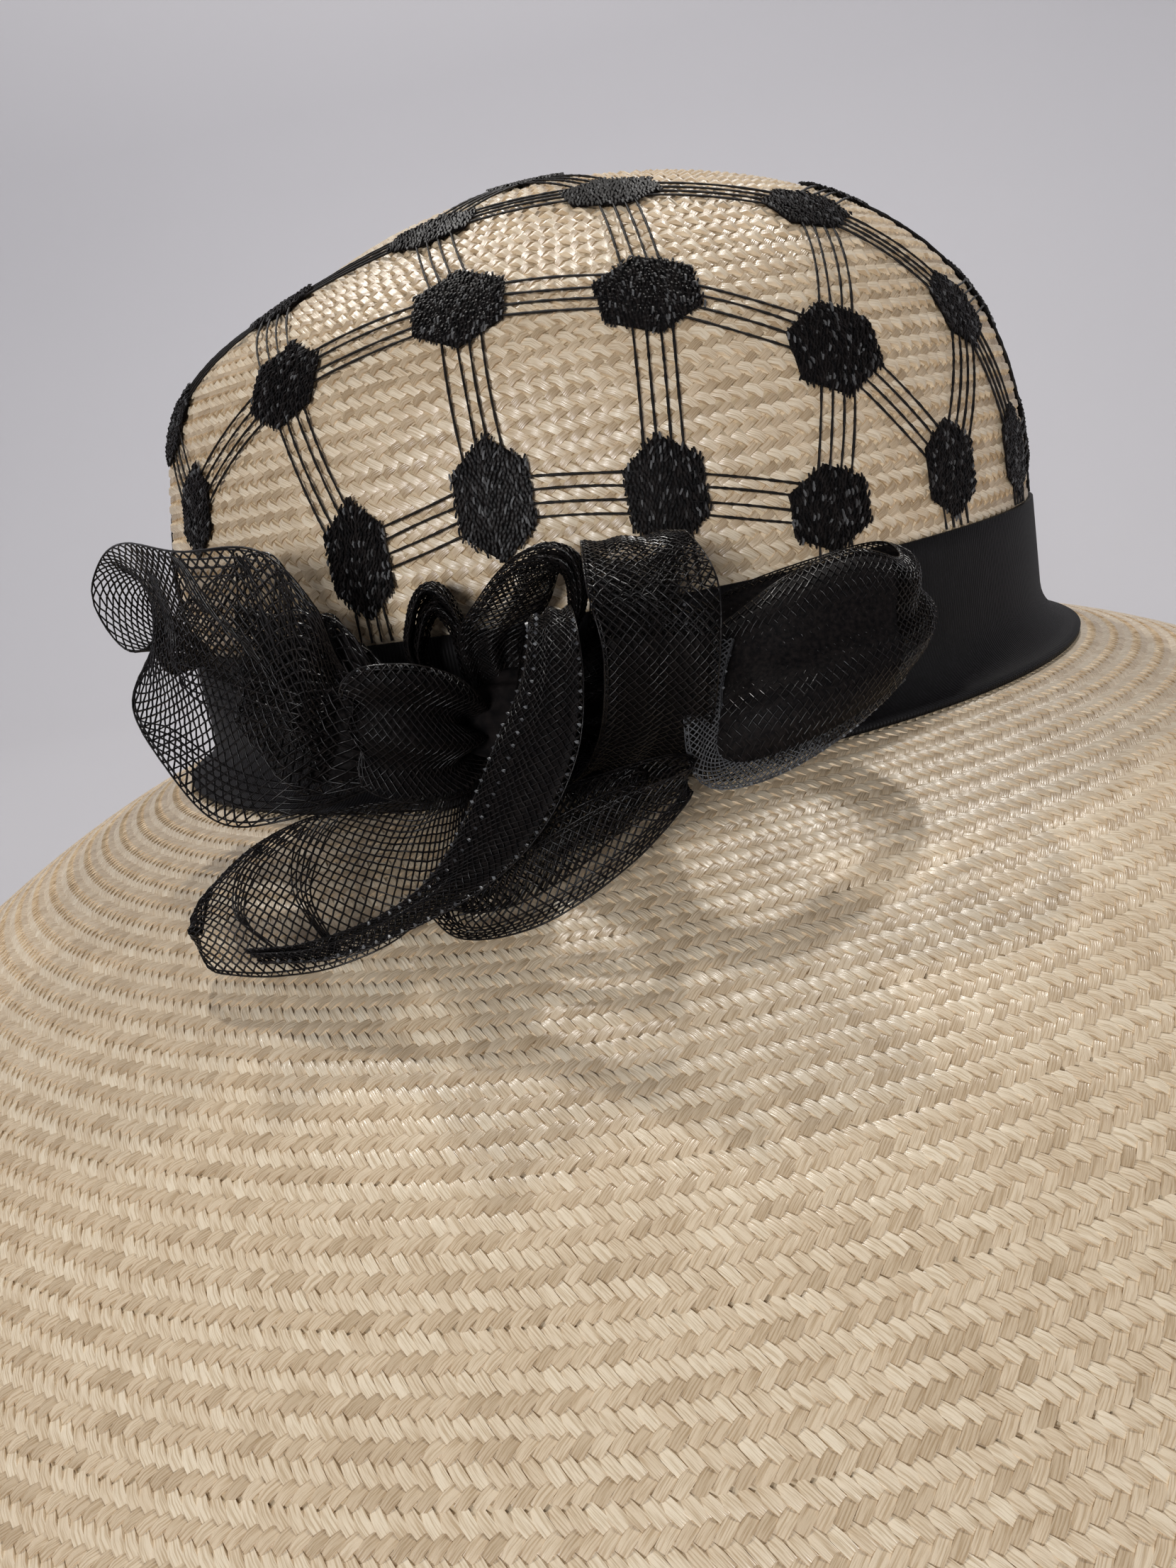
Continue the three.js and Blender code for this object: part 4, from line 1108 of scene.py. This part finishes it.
# Each row: the low edge's and the high edge's place, in mm to the right, out from the crown and above the
# brim's root. A sleeve is puffed open, a belly curves the strip across, and a cell is the net's mesh. Rims
# are cords along the two edges. Plies are stretches of a layer that are folded dense. Inner loops are shares
# of the outer one, and flared rows are left out of them. A crease is a bundle of yarns through shares along
# and across.
RIBBONS = {
    "bow_tail": {
        "sleeve": True, "puff": 0.8, "belly": 0.5, "cell": 0.85, "rims": (1, 1), "plies": [(0, 0.0, 0.68)],
        "rows": [
            (4, 14, 18, 12, 15, 20), (11, 24, 31, 19, 27, 33), (14, 33, 32, 23, 39, 33),
            (13, 38, 26, 24, 45, 26), (9, 42, 19, 22, 48, 17), (4, 43, 11, 16, 50, 8),
            (-3, 45, 2, 7, 51, 1), (-13, 46, -4, -5, 52, -4), (-26, 46, -7, -19, 51, -8),
            (-37, 44, -8, -32, 48, -9),
        ],
    },
    "bow_loop_centre": {
        "sleeve": True, "puff": 2.0, "belly": 2, "cell": 1.0, "rims": (2, 1),
        "plies": [(0, 0.0, 0.36), (0, 0.72, 1.0)],
        "rows": [
            (8, 12, 9, 14, 10, 10), (14, 23, 7, 30, 20, 6), (22, 34, 16, 37, 29, 13),
            (26, 40, 28, 41, 34, 25), (25, 38, 37, 42, 32, 35), (23, 28, 42, 38, 22, 41),
            (20, 14, 41, 35, 11, 40), (18, 7, 31, 32, 4, 30), (14, 7, 22, 27, 3, 20), (8, 8, 17, 15, 7, 16),
        ],
    },
    "bow_loop_left": {
        "sleeve": False, "inner": (0.66, 0.5), "flare": (6, 7, 8), "puff": 3.5, "belly": 5, "cell": 1.4,
        "rims": (2, 1), "plies": [(1, 0.07, 0.33), (2, 0.05, 0.5), (2, 0.56, 0.95)],
        "creases": [
            [(0.07, 0.97), (0.17, 0.96), (0.25, 0.96), (0.36, 0.97)],
            [(0.39, 0.85), (0.37, 0.4), (0.29, 0.44), (0.15, 0.46)],
            [(0.34, 0.98), (0.31, 0.74), (0.25, 0.6)],
            [(0.385, 0.0), (0.33, 0.1), (0.22, 0.12), (0.13, 0.06)],
            [(0.27, 0.97), (0.25, 0.7)],
            [(0.22, 0.97), (0.21, 0.68)],
        ],
        "rows": [
            (-9, 11, 10, -9, 10, 17), (-22, 14, 8, -21, 17, 27), (-37, 22, 6, -21, 25, 40),
            (-49, 22, 7, -29, 24, 50), (-59, 17, 16, -46, 18, 52), (-69, 7, 27, -63, 6, 55),
            (-66, -1, 36, -74, -2, 52.5), (-63, -4, 38, -79, -4, 45), (-60, -5, 36, -74, -5, 35),
            (-52, -3, 24, -58, -3, 43), (-38, 2, 11, -38, 3, 49), (-27, 5, 10, -29, 6, 36),
            (-9, 7, 11, -9, 7, 17),
        ],
    },
    "bow_loop_right": {
        "sleeve": False, "puff": 2.0, "belly": 3, "cell": 1.0, "rims": (2, 2), "pleat": 2.2, "pleats": 1.7,
        # These plies darken the loop's front: partly folded layers, partly painted shade for its shaded
        # inside.
        "plies": [(0, 0.12, 0.46), (0, 0.6, 1.0)],
        "rows": [
            (12, 12, 11, 12, 10, 17), (27, 16, 8, 29, 9, 20), (35, 28, 6, 41, 15, 27),
            (45, 30, 7, 50, 16, 32), (56, 24, 9, 60, 11, 34), (66, 12, 13, 67, 6, 31),
            (69, 0, 17, 65, -2, 33), (57, -4, 12, 56, -6, 32), (40, 0, 10, 39, -1, 29),
            (26, 4, 10, 25, 3, 22), (13, 7, 12, 13, 6, 17),
        ],
        "lip": [
            (37, 26, 26, 42, 23, 25), (35, 29, 21, 40, 26, 20), (34, 31, 15, 39, 28, 15),
            (34, 31, 8, 38, 28.5, 10), (37, 31, 5, 40, 28.5, 8.5), (43, 30.5, 5, 44, 28, 9),
            (50, 27.5, 6.5, 50, 25, 10.5), (58, 20, 9, 57, 18.5, 13), (66, 11, 13, 64, 10, 17),
        ],
    },
    "bow_fold_left": {
        "sleeve": True, "puff": 1.5, "belly": 1, "cell": 0.9, "rims": (1, 2), "pleat": 1.9, "pleats": 2.2,
        "plies": [(0, 0.0, 1.0)],
        "rows": [
            (-2, 14, 11, -2, 13, 18), (-4, 25, 8, 0, 24, 25), (-10, 31, 9, -4, 33, 30),
            (-16, 33, 13, -12, 35, 31), (-15, 30, 19, -17, 30, 28), (-20, 21, 13, -17, 19, 27),
            (-14, 14, 11, -13, 11, 21), (-8, 10, 12, -8, 9, 17),
        ],
    },
    "bow_loop_low_left": {
        "sleeve": False, "puff": 1.5, "belly": -3, "cell": 1.2, "rims": (2, 2), "plies": [],
        "creases": [
            [(0.45, 0.03), (0.54, 0.4), (0.51, 0.75), (0.39, 0.97)],
            [(0.38, 0.05), (0.4, 0.5), (0.33, 0.97)],
        ],
        "rows": [
            (-4, 15, 9, -6, 13, 12), (-5, 31, 0, -12, 23, 8), (-9, 43, -7, -21, 26, 8),
            (-19, 48, -10, -31, 27, 7), (-30, 48, -11, -40, 28, 4), (-39, 46.5, -10.7, -47, 29, -0.2),
            (-43.4, 44.4, -10.4, -48.9, 31.2, -2.7), (-46.3, 41, -9, -48.6, 35.4, -5.7),
            (-47.5, 38.8, -7.8, -48, 37.6, -7.1),
        ],
    },
    "bow_loop_low_centre": {
        "sleeve": False, "inner": (0.8,), "puff": 1.2, "belly": 1.5, "cell": 1.15, "rims": (6, 2),
        "plies": [],
        "rows": [
            (2, 15, 8, 3, 13, 13), (3, 23, -1, 4, 21, 7), (12, 28, -3, 13, 26, 6), (22, 31, 0, 21, 29, 9),
            (31, 33, 5, 32, 31, 11), (34, 37, 6, 35, 36, 10), (25, 43, -1, 24, 41, 8),
            (12, 47, -7, 11, 43, 3), (-1, 45, -9, 0, 40, -3), (-9, 38, -6, -7, 34, -1),
        ],
    },
    "bow_loop_top": {
        "sleeve": True, "inner": (0.94,), "puff": 1.2, "belly": 0.5, "cell": 0.85, "rims": (3, 3),
        "plies": [(0, 0.0, 0.12), (0, 0.52, 1.0)],
        "rows": [
            (6, 6, 19, -2, 13, 19), (7, 7, 28, -3, 15, 30), (12, 7, 34, 3, 17, 37), (15, 8, 39, 10, 19, 42),
            (17, 8, 40, 16, 20, 43), (18, 8, 37, 20, 20, 40), (16, 6, 31, 19, 18, 32),
            (11, 5, 25, 13, 16, 25), (7, 5, 18, 8, 13, 18),
        ],
    },
    "bow_loop_upright": {
        "sleeve": True, "inner": (0.85,), "puff": 1.2, "belly": 0.5, "cell": 0.9, "rims": (2, 2),
        "plies": [(0, 0.0, 1.0), (1, 0.0, 1.0)],
        "rows": [
            (-8, 5, 18, -7, 12, 18), (-15, 3, 27, -12, 14, 28), (-14, 3, 34, -10, 15, 35),
            (-11, 3, 38, -7, 15, 39), (-8, 3, 38, -4, 15, 38), (-6, 3, 33, -2, 14, 33),
            (-5, 4, 27, -3, 12, 26), (-4, 5, 19, -3, 11, 19),
        ],
    },
}
print("ribbon loops:", len(RIBBONS))

# %% Strips between two edges
FULL_WIDTH = 6.0
PLEAT = 0.5
PLEATS = 2.5
PLEAT_START = 0.3
PLEAT_FAR = 0.35
KNOT_REACH = 0.18
SIZE_STEPS = 200


def bow_points(places):
    places = np.asarray(places, float)
    return BOW_SEAT + places[..., :1] * BOW_RIGHT + places[..., 1:2] * BOW_OUT + places[..., 2:] * BOW_UP


def smooth_line(knots, share):
    """A Catmull-Rom line through the knots, at shares of its length from 0 to 1."""
    padded = np.vstack([2 * knots[0] - knots[1], knots, 2 * knots[-1] - knots[-2]])
    place = np.clip(share, 0, 1) * (len(knots) - 1)
    first = np.minimum(place.astype(int), len(knots) - 2)
    t = (place - first)[..., None]
    a, b, c, d = (padded[first + k] for k in range(4))
    bend = 2 * a - 5 * b + 4 * c - d
    twist = 3 * b - a - 3 * c + d
    return 0.5 * (2 * b + (c - a) * t + bend * t ** 2 + twist * t ** 3)


def ribbon_strip(ribbon):
    """Returns a function from shares along and across the ribbon to points and the way that they face."""
    rows = np.array(ribbon["rows"], float)
    low, high = bow_points(rows[:, :3]), bow_points(rows[:, 3:])

    def strip(along, across):
        edge, far = smooth_line(low, along), smooth_line(high, along)
        step = 0.004
        way = (smooth_line(low, along + step) + smooth_line(high, along + step)
               - smooth_line(low, along - step) - smooth_line(high, along - step))
        facing = unit(np.cross(way, far - edge))
        v = across[..., None]
        waves = ribbon.get("pleats", PLEATS) * v + PLEAT_START
        gather = ribbon.get("pleat", PLEAT) * np.sin(2 * math.pi * waves)
        near_knot = np.exp(-np.minimum(along, 1 - along) / KNOT_REACH)[..., None]
        fullness = np.minimum(1, np.linalg.norm(far - edge, axis=-1, keepdims=True) / FULL_WIDTH)
        bulge = ribbon["belly"] * fullness * 4 * v * (1 - v) - gather * fullness * (PLEAT_FAR + near_knot)
        return edge + (far - edge) * v + facing * bulge, facing

    return strip


def line_length(points):
    return np.linalg.norm(np.diff(points, axis=0), axis=1).sum()


def ribbon_size(strip):
    """The length of the strip's middle line, and its mean and widest width."""
    along = np.linspace(0, 1, SIZE_STEPS)
    low, middle, high = (strip(along, np.full_like(along, across))[0] for across in (0.0, 0.5, 1.0))
    widths_here = np.linalg.norm(high - low, axis=1)
    return line_length(middle), widths_here.mean(), widths_here.max()


for name, ribbon in RIBBONS.items():
    print(name, "strip in mm:", [round(float(side), 1) for side in ribbon_size(ribbon_strip(ribbon))])

# %% [markdown]
# In a flat braid each yarn runs to one edge, turns there and runs back. On a sleeve the yarns wind round both
# sides instead, one set each way. Cords along the edges and bundles in the creases are yarns too, so one
# guide holds them all and the thread tree spins them in one go.

# %% Yarns across the net
YARN_SHARE = 0.29
YARN_CROSSING = 0.3
SLEEVE_END = 0.02
SLEEVE_OPENING = 0.7
SLEEVE_ROUNDING = 0.8
EVEN_STEPS = 400


def even_shares(strip, count):
    """Shares along the ribbon that are evenly spaced in length on its middle line."""
    along = np.linspace(0, 1, EVEN_STEPS)
    middle = strip(along, np.full_like(along, 0.5))[0]
    run = np.concatenate([[0], np.cumsum(np.linalg.norm(np.diff(middle, axis=0), axis=1))])
    return np.interp(np.linspace(0, run[-1], count), run, along)


def sleeve_round(across):
    return np.sin(math.pi * across) ** SLEEVE_ROUNDING


def braid_lines(strip, ribbon):
    """Yarns that cross a flat ribbon on the bias and turn back at its edges, or wind on round a sleeve."""
    length, mean_width, widest = ribbon_size(strip)
    step = ribbon["cell"] / math.sqrt(2)
    layer = max(4, round(0.5 * (mean_width + widest) / step))
    shares = even_shares(strip, max(8, round(length / step)) + 1)
    number = np.arange(len(shares))
    inside = np.clip(shares, SLEEVE_END, 1 - SLEEVE_END)
    open_here = ribbon["puff"] * np.sin(math.pi * inside) ** SLEEVE_OPENING
    crossing = YARN_CROSSING * ribbon["cell"] * YARN_SHARE
    lines = []
    for way in ((1, -1) if ribbon["sleeve"] else (1,)):
        for yarn in range(layer):
            turn = (way * number + 2 * yarn) % (2 * layer)
            across = 1 - np.abs(turn / layer - 1)
            side = np.where(turn < layer, 1.0, -1.0)
            points, facing = strip(shares, across)
            over = np.where(number % 2 == 0, 1.0, -1.0) * (way if ribbon["sleeve"] else side) * crossing
            puffed = side * open_here * sleeve_round(across) if ribbon["sleeve"] else 0.0
            points = points + facing * (puffed + over)[:, None]
            lines.append({"points": points, "sheen": ribbon.get("sheen", 0.0)})
    return lines


tail_strip = ribbon_strip(RIBBONS["bow_tail"])
print("yarns in the tail:", len(braid_lines(tail_strip, RIBBONS["bow_tail"])))

# %% Cords, creases and inner loops
CORD_STEP = 1.2
CORD_GAP = 0.42
CREASE_CORDS = 5
CREASE_SPREAD = 0.03
CREASE_START = 0.3
CREASE_STEPS = 24
INNER_LOOP = {"sleeve": True, "rims": (1, 2), "creases": ()}
# The lip's yarns are drawn a paler grey: painted highlight on the single turned-out layer.
LIP = {"sleeve": False, "belly": 0.8, "pleat": 0.5, "cell": 0.65, "rims": (2, 2), "creases": (), "sheen": 1.0}


def inner_rows(rows, share):
    """The rows of a smaller loop inside a loop, drawn towards the knot that both start from."""
    start = (np.array(rows[0], float) + np.array(rows[-1], float)) / 2
    middle = np.tile((start[:3] + start[3:]) / 2, 2)
    return [tuple(middle + (row - middle) * share) for row in np.array(rows, float)]


def ribbon_layers(ribbon):
    """The ribbon itself, the smaller loops inside it, and the lip that is turned out at its front."""
    layers = [ribbon]
    kept = [row for k, row in enumerate(ribbon["rows"]) if k not in ribbon.get("flare", ())]
    for share in ribbon.get("inner", ()):
        layers.append({**ribbon, **INNER_LOOP, "rows": inner_rows(kept, share)})
    if "lip" in ribbon:
        layers.append({**ribbon, **LIP, "rows": ribbon["lip"]})
    return layers


def edge_cords(strip, ribbon):
    """Yarns that run along the two edges, where the ribbon is rolled."""
    length, width, _ = ribbon_size(strip)
    shares = even_shares(strip, round(length / CORD_STEP))
    low, high = ribbon["rims"]
    places = [k * CORD_GAP / width for k in range(low)] + [1 - k * CORD_GAP / width for k in range(high)]
    sheen = ribbon.get("sheen", 0.0)
    return [{"points": strip(shares, np.full_like(shares, place))[0], "sheen": sheen} for place in places]


def crease_lines(strip, ribbon):
    """Bundles of yarns that are drawn together into a fold across the ribbon."""
    lines = []
    opening = CREASE_START + np.linspace(0, 1, CREASE_STEPS)
    for path in ribbon.get("creases", ()):
        knots = np.array([(*place, 0.0) for place in path])
        line = smooth_line(knots, np.linspace(0, 1, CREASE_STEPS))
        for cord in range(CREASE_CORDS):
            spread = (cord - (CREASE_CORDS - 1) / 2) * CREASE_SPREAD * opening
            points = strip(line[:, 0] + spread / 3, np.clip(line[:, 1] + spread, 0, 1))[0]
            lines.append({"points": points, "sheen": 0.0})
    return lines


print("layers in the left loop:", len(ribbon_layers(RIBBONS["bow_loop_left"])))

# %% Nets of the bow
YARN_SLUB = 0.12
NET_SEED = 60


def net_piece(name, ribbon, seed):
    lines = []
    flat_length, flat_area = 0.0, 0.0
    for layer in ribbon_layers(ribbon):
        strip = ribbon_strip(layer)
        length, width, _ = ribbon_size(strip)
        lines += braid_lines(strip, layer) + edge_cords(strip, layer) + crease_lines(strip, layer)
        flat_length += length
        flat_area += length * width * (2 if layer["sleeve"] else 1)
    guide = guide_lines(name + "_yarns", lines, sheen="FLOAT")
    piece = spin_threads(name + "_net", guide, ribbon["cell"] * YARN_SHARE, YARN_SLUB, seed, CRINOLINE)
    return {"piece": piece, "length": flat_length * MM, "width": flat_area / flat_length * MM}


bow_nets = {}
for seed, (name, ribbon) in enumerate(RIBBONS.items()):
    bow_nets[name] = net_piece(name, ribbon, NET_SEED + seed)

# %% [markdown]
# Where the ribbon is folded on itself several times over, light no longer comes through. One thin closed
# sheet inside the net stands for those plies, so the net on both sides of it stays a real net. On the right
# loop the sheets also darken the front as painted shade, for the shaded inside of a loop that opens forward.

# %% Folded plies
PLY_STEPS = 40
PLY_COLUMNS = 9
PLY_EDGE = 0.06
PLY_HALF = 0.12


def ply_sheets(name, ribbon):
    points, faces = [], []
    layers = ribbon_layers(ribbon)
    across = np.linspace(PLY_EDGE, 1 - PLY_EDGE, PLY_COLUMNS)
    columns = 2 * PLY_COLUMNS
    for number, first, last in ribbon["plies"]:
        strip = ribbon_strip(layers[number])
        middle, facing = strip(*np.meshgrid(np.linspace(first, last, PLY_STEPS), across, indexing="ij"))
        ring = np.concatenate([middle - PLY_HALF * facing, (middle + PLY_HALF * facing)[:, ::-1]], axis=1)
        base = len(points)
        points += list(ring.reshape(-1, 3))
        faces += grid_faces(PLY_STEPS, columns, wrap=True, first=base)
        end = base + (PLY_STEPS - 1) * columns
        faces += [list(range(base, base + columns))[::-1], list(range(end, end + columns))]
    return mesh_piece(name + "_plies", points, faces, PLIES)


bow_plies = {name: ply_sheets(name, ribbon) for name, ribbon in RIBBONS.items() if ribbon["plies"]}
print("plies:", sum(triangles(piece) for piece in bow_plies.values()), "triangles")

# %% [markdown]
# Along a pressed edge each yarn turns round a tiny bend that catches the light, so the edge reads as a row of
# pale dots. The float tree lays them: one short float on each turn, each a random grey from dark to a paler
# grey that is painted glint, besides its real gloss.

# %% Turns along pressed edges
# Each row: the ribbon, its layer, the share across it, the first and last share along it, and the pitch in mm
TURNS = [
    ("bow_tail", 0, 0.02, 0.15, 0.97, 1.7), ("bow_tail", 0, 0.98, 0.22, 0.97, 2.2),
    ("bow_tail", 0, 0.30, 0.18, 0.80, 1.8),
    ("bow_fold_left", 0, 0.98, 0.12, 0.75, 1.6), ("bow_fold_left", 0, 0.02, 0.40, 0.70, 1.9),
    ("bow_loop_right", 1, 0.02, 0.0, 0.95, 1.5), ("bow_loop_right", 1, 0.98, 0.05, 0.6, 2.2),
    ("bow_loop_centre", 0, 0.02, 0.25, 0.62, 1.9), ("bow_loop_centre", 0, 0.45, 0.12, 0.42, 2.3),
    ("bow_loop_centre", 0, 0.75, 0.12, 0.42, 2.5),
]
TURN = {"length": 0.45, "width": 0.45, "rise": 0.22, "unevenness": 30.0, "scatter": 0.0}
TURN_SEED = 71
TURN_PROUD = 0.25
TURN_STEPS = 120


def turn_lines(name):
    lines = []
    layers = ribbon_layers(RIBBONS[name])
    for owner, number, across, first, last, pitch in TURNS:
        if owner == name:
            ribbon = layers[number]
            along = np.linspace(first, last, TURN_STEPS)
            points, facing = ribbon_strip(ribbon)(along, np.full_like(along, across))
            count = round(line_length(points) / pitch)
            proud = TURN_PROUD + (ribbon["puff"] * sleeve_round(across) if ribbon["sleeve"] else 0.0)
            lines.append({"points": points + proud * facing, "outward": facing, "floats": count,
                          "lean": 0.0, "painted_shade": 0.0})
    return lines


bow_turns = {}
for name in dict.fromkeys(row[0] for row in TURNS):
    bow_turns[name] = lay_floats(name + "_turns", turn_lines(name), TURN, TURN_SEED, YARN_TURN)
bpy.data.objects.remove(FLOAT_FORM)

# %% [markdown]
# The loops meet in a knot: the ribbon is pulled together there and stitched down. It is a small pleated lump,
# mostly hidden behind the tail, so a ball with deep folds is enough.

# %% Knot
KNOT = {"right": 2, "out": 9.7, "up": 14, "half_right": 16, "half_out": 8.1, "half_up": 10}
KNOT_PLEATS = 11
KNOT_DEPTH = 0.10
KNOT_TWIST = 2.0
KNOT_COLUMNS = 66
KNOT_ROWS = 14
KNOT_END = 0.495


def knot_lump():
    turn = np.linspace(0, 2 * math.pi, KNOT_COLUMNS, endpoint=False)
    points = []
    for level in np.linspace(-KNOT_END, KNOT_END, KNOT_ROWS) * math.pi:
        fold = 0.5 + 0.5 * np.cos(KNOT_PLEATS * turn + KNOT_TWIST * level)
        reach = math.cos(level) * (1 - KNOT_DEPTH * fold * math.cos(level))
        places = np.stack([
            np.full_like(turn, KNOT["right"] + KNOT["half_right"] * math.sin(level)),
            KNOT["out"] + KNOT["half_out"] * reach * np.cos(turn),
            KNOT["up"] + KNOT["half_up"] * reach * np.sin(turn),
        ], axis=-1)
        points += list(bow_points(places))
    faces = grid_faces(KNOT_ROWS, KNOT_COLUMNS, wrap=True)
    last = (KNOT_ROWS - 1) * KNOT_COLUMNS
    faces += [list(range(KNOT_COLUMNS))[::-1], list(range(last, last + KNOT_COLUMNS))]
    return mesh_piece("bow_knot_gathers", points, faces, GATHERS)


knot = knot_lump()
print("knot triangles:", triangles(knot))

# %% [markdown]
# ## Floor and light
# A pale sheet lies under the hat and curves up all round, near behind it and far in front. Two small lights
# hang above and behind the hat, one on each side, so its shadows fall forward and are crisp. A wider one
# fills the front, and a weak sky fills the rest.

# %% Floor
FLOOR_BACK = 500.0
FLOOR_FRONT = 2500.0
FLOOR_BEND = 500.0
FLOOR_WALL = 2000.0
FLOOR_COLUMNS = 72
FLOOR_SHARES = (0.25, 0.5, 0.75)
BEND_STEPS = 13
PAPER = (0.56, 0.555, 0.585)
PAPER_CLOUDS = 0.97
PAPER_SCALE = 2.0
PAPER_ROUGHNESS = 0.9


def paper_material():
    material, tree, shader = new_material("paper_roll")
    cloud = noise(tree, object_place(tree), PAPER_SCALE, 4.0)
    tint = ramp(tree, cloud, [(0.3, tuple(PAPER_CLOUDS * part for part in PAPER)), (0.7, PAPER)])
    tree.links.new(tint, shader.inputs["Base Color"])
    shader.inputs["Roughness"].default_value = PAPER_ROUGHNESS
    return material


def paper_bowl():
    azimuth = np.linspace(0, 2 * math.pi, FLOOR_COLUMNS, endpoint=False)
    flat = FLOOR_BACK + (FLOOR_FRONT - FLOOR_BACK) * (1 + np.cos(azimuth)) / 2
    rings = [(flat * share, 0.0) for share in FLOOR_SHARES]
    for turn in np.linspace(0, math.pi / 2, BEND_STEPS):
        rings.append((flat + FLOOR_BEND * math.sin(turn), FLOOR_BEND * (1 - math.cos(turn))))
    rings.append((flat + FLOOR_BEND, FLOOR_WALL))
    points = [(0.0, 0.0, 0.0)]
    for reach, z in rings:
        x, y = reach * np.sin(azimuth), -reach * np.cos(azimuth)
        points += list(np.stack(np.broadcast_arrays(x, y, z), axis=-1))
    faces = [[0, 1 + k, 1 + (k + 1) % FLOOR_COLUMNS] for k in range(FLOOR_COLUMNS)]
    faces += grid_faces(len(rings), FLOOR_COLUMNS, wrap=True, first=1, flip=True)
    return mesh_piece("floor", points, faces, paper_material())


floor = paper_bowl()
print("floor triangles:", triangles(floor))

# %% Light
WARM = (1.0, 0.97, 0.93)
COOL = (0.98, 0.98, 1.0)
LIGHTS = [
    {"name": "right_light", "place": (0.42, 0.55, 1.45), "size": 0.08, "watts": 7.8, "colour": WARM},
    {"name": "back_light", "place": (-0.35, 0.55, 1.5), "size": 0.07, "watts": 9.0, "colour": WARM},
    {"name": "front_fill", "place": (-0.3, -1.85, 0.4), "size": 0.4, "watts": 20.0, "colour": COOL},
]
AIM = Vector((0, 0, 0.09))
SKY = (0.72, 0.72, 0.76, 1)
SKY_STRENGTH = 0.15


def studio_light(row):
    light = bpy.data.lights.new(row["name"], "AREA")
    light.size = row["size"]
    light.energy = row["watts"]
    light.color = row["colour"]
    holder = bpy.data.objects.new(row["name"], light)
    holder.location = row["place"]
    holder.rotation_euler = (AIM - holder.location).to_track_quat("-Z", "Y").to_euler()
    bpy.context.collection.objects.link(holder)


for row in LIGHTS:
    studio_light(row)
world = bpy.data.worlds.new("studio")
world.use_nodes = True
sky = world.node_tree.nodes["Background"].inputs
sky["Color"].default_value = SKY
sky["Strength"].default_value = SKY_STRENGTH
bpy.context.scene.world = world
bpy.context.scene.view_settings.view_transform = "Standard"
print("lights:", len(LIGHTS))

# %% [markdown]
# ## Join the pieces to the frame
# Every piece moves with the one body that the hat is, and stands for a solid, whose own part is hidden.
# Each net's flat size is what its strips add up to.

# %% Ride and replace


def stands_for(piece, node):
    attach(piece, "root")
    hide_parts(node)


for piece in (crown_body, crown_floats):
    stands_for(piece, "crown")
for piece in (brim_body, *brim_floats):
    stands_for(piece, "brim")
stands_for(band, "hat_band")
for piece in (lace_pads, lace_stitches, lace_threads):
    stands_for(piece, "lace_net")
stands_for(knot, "bow_knot")
for name, net in bow_nets.items():
    extras = [pieces[name] for pieces in (bow_plies, bow_turns) if name in pieces]
    for piece in (net["piece"], *extras):
        stands_for(piece, name)
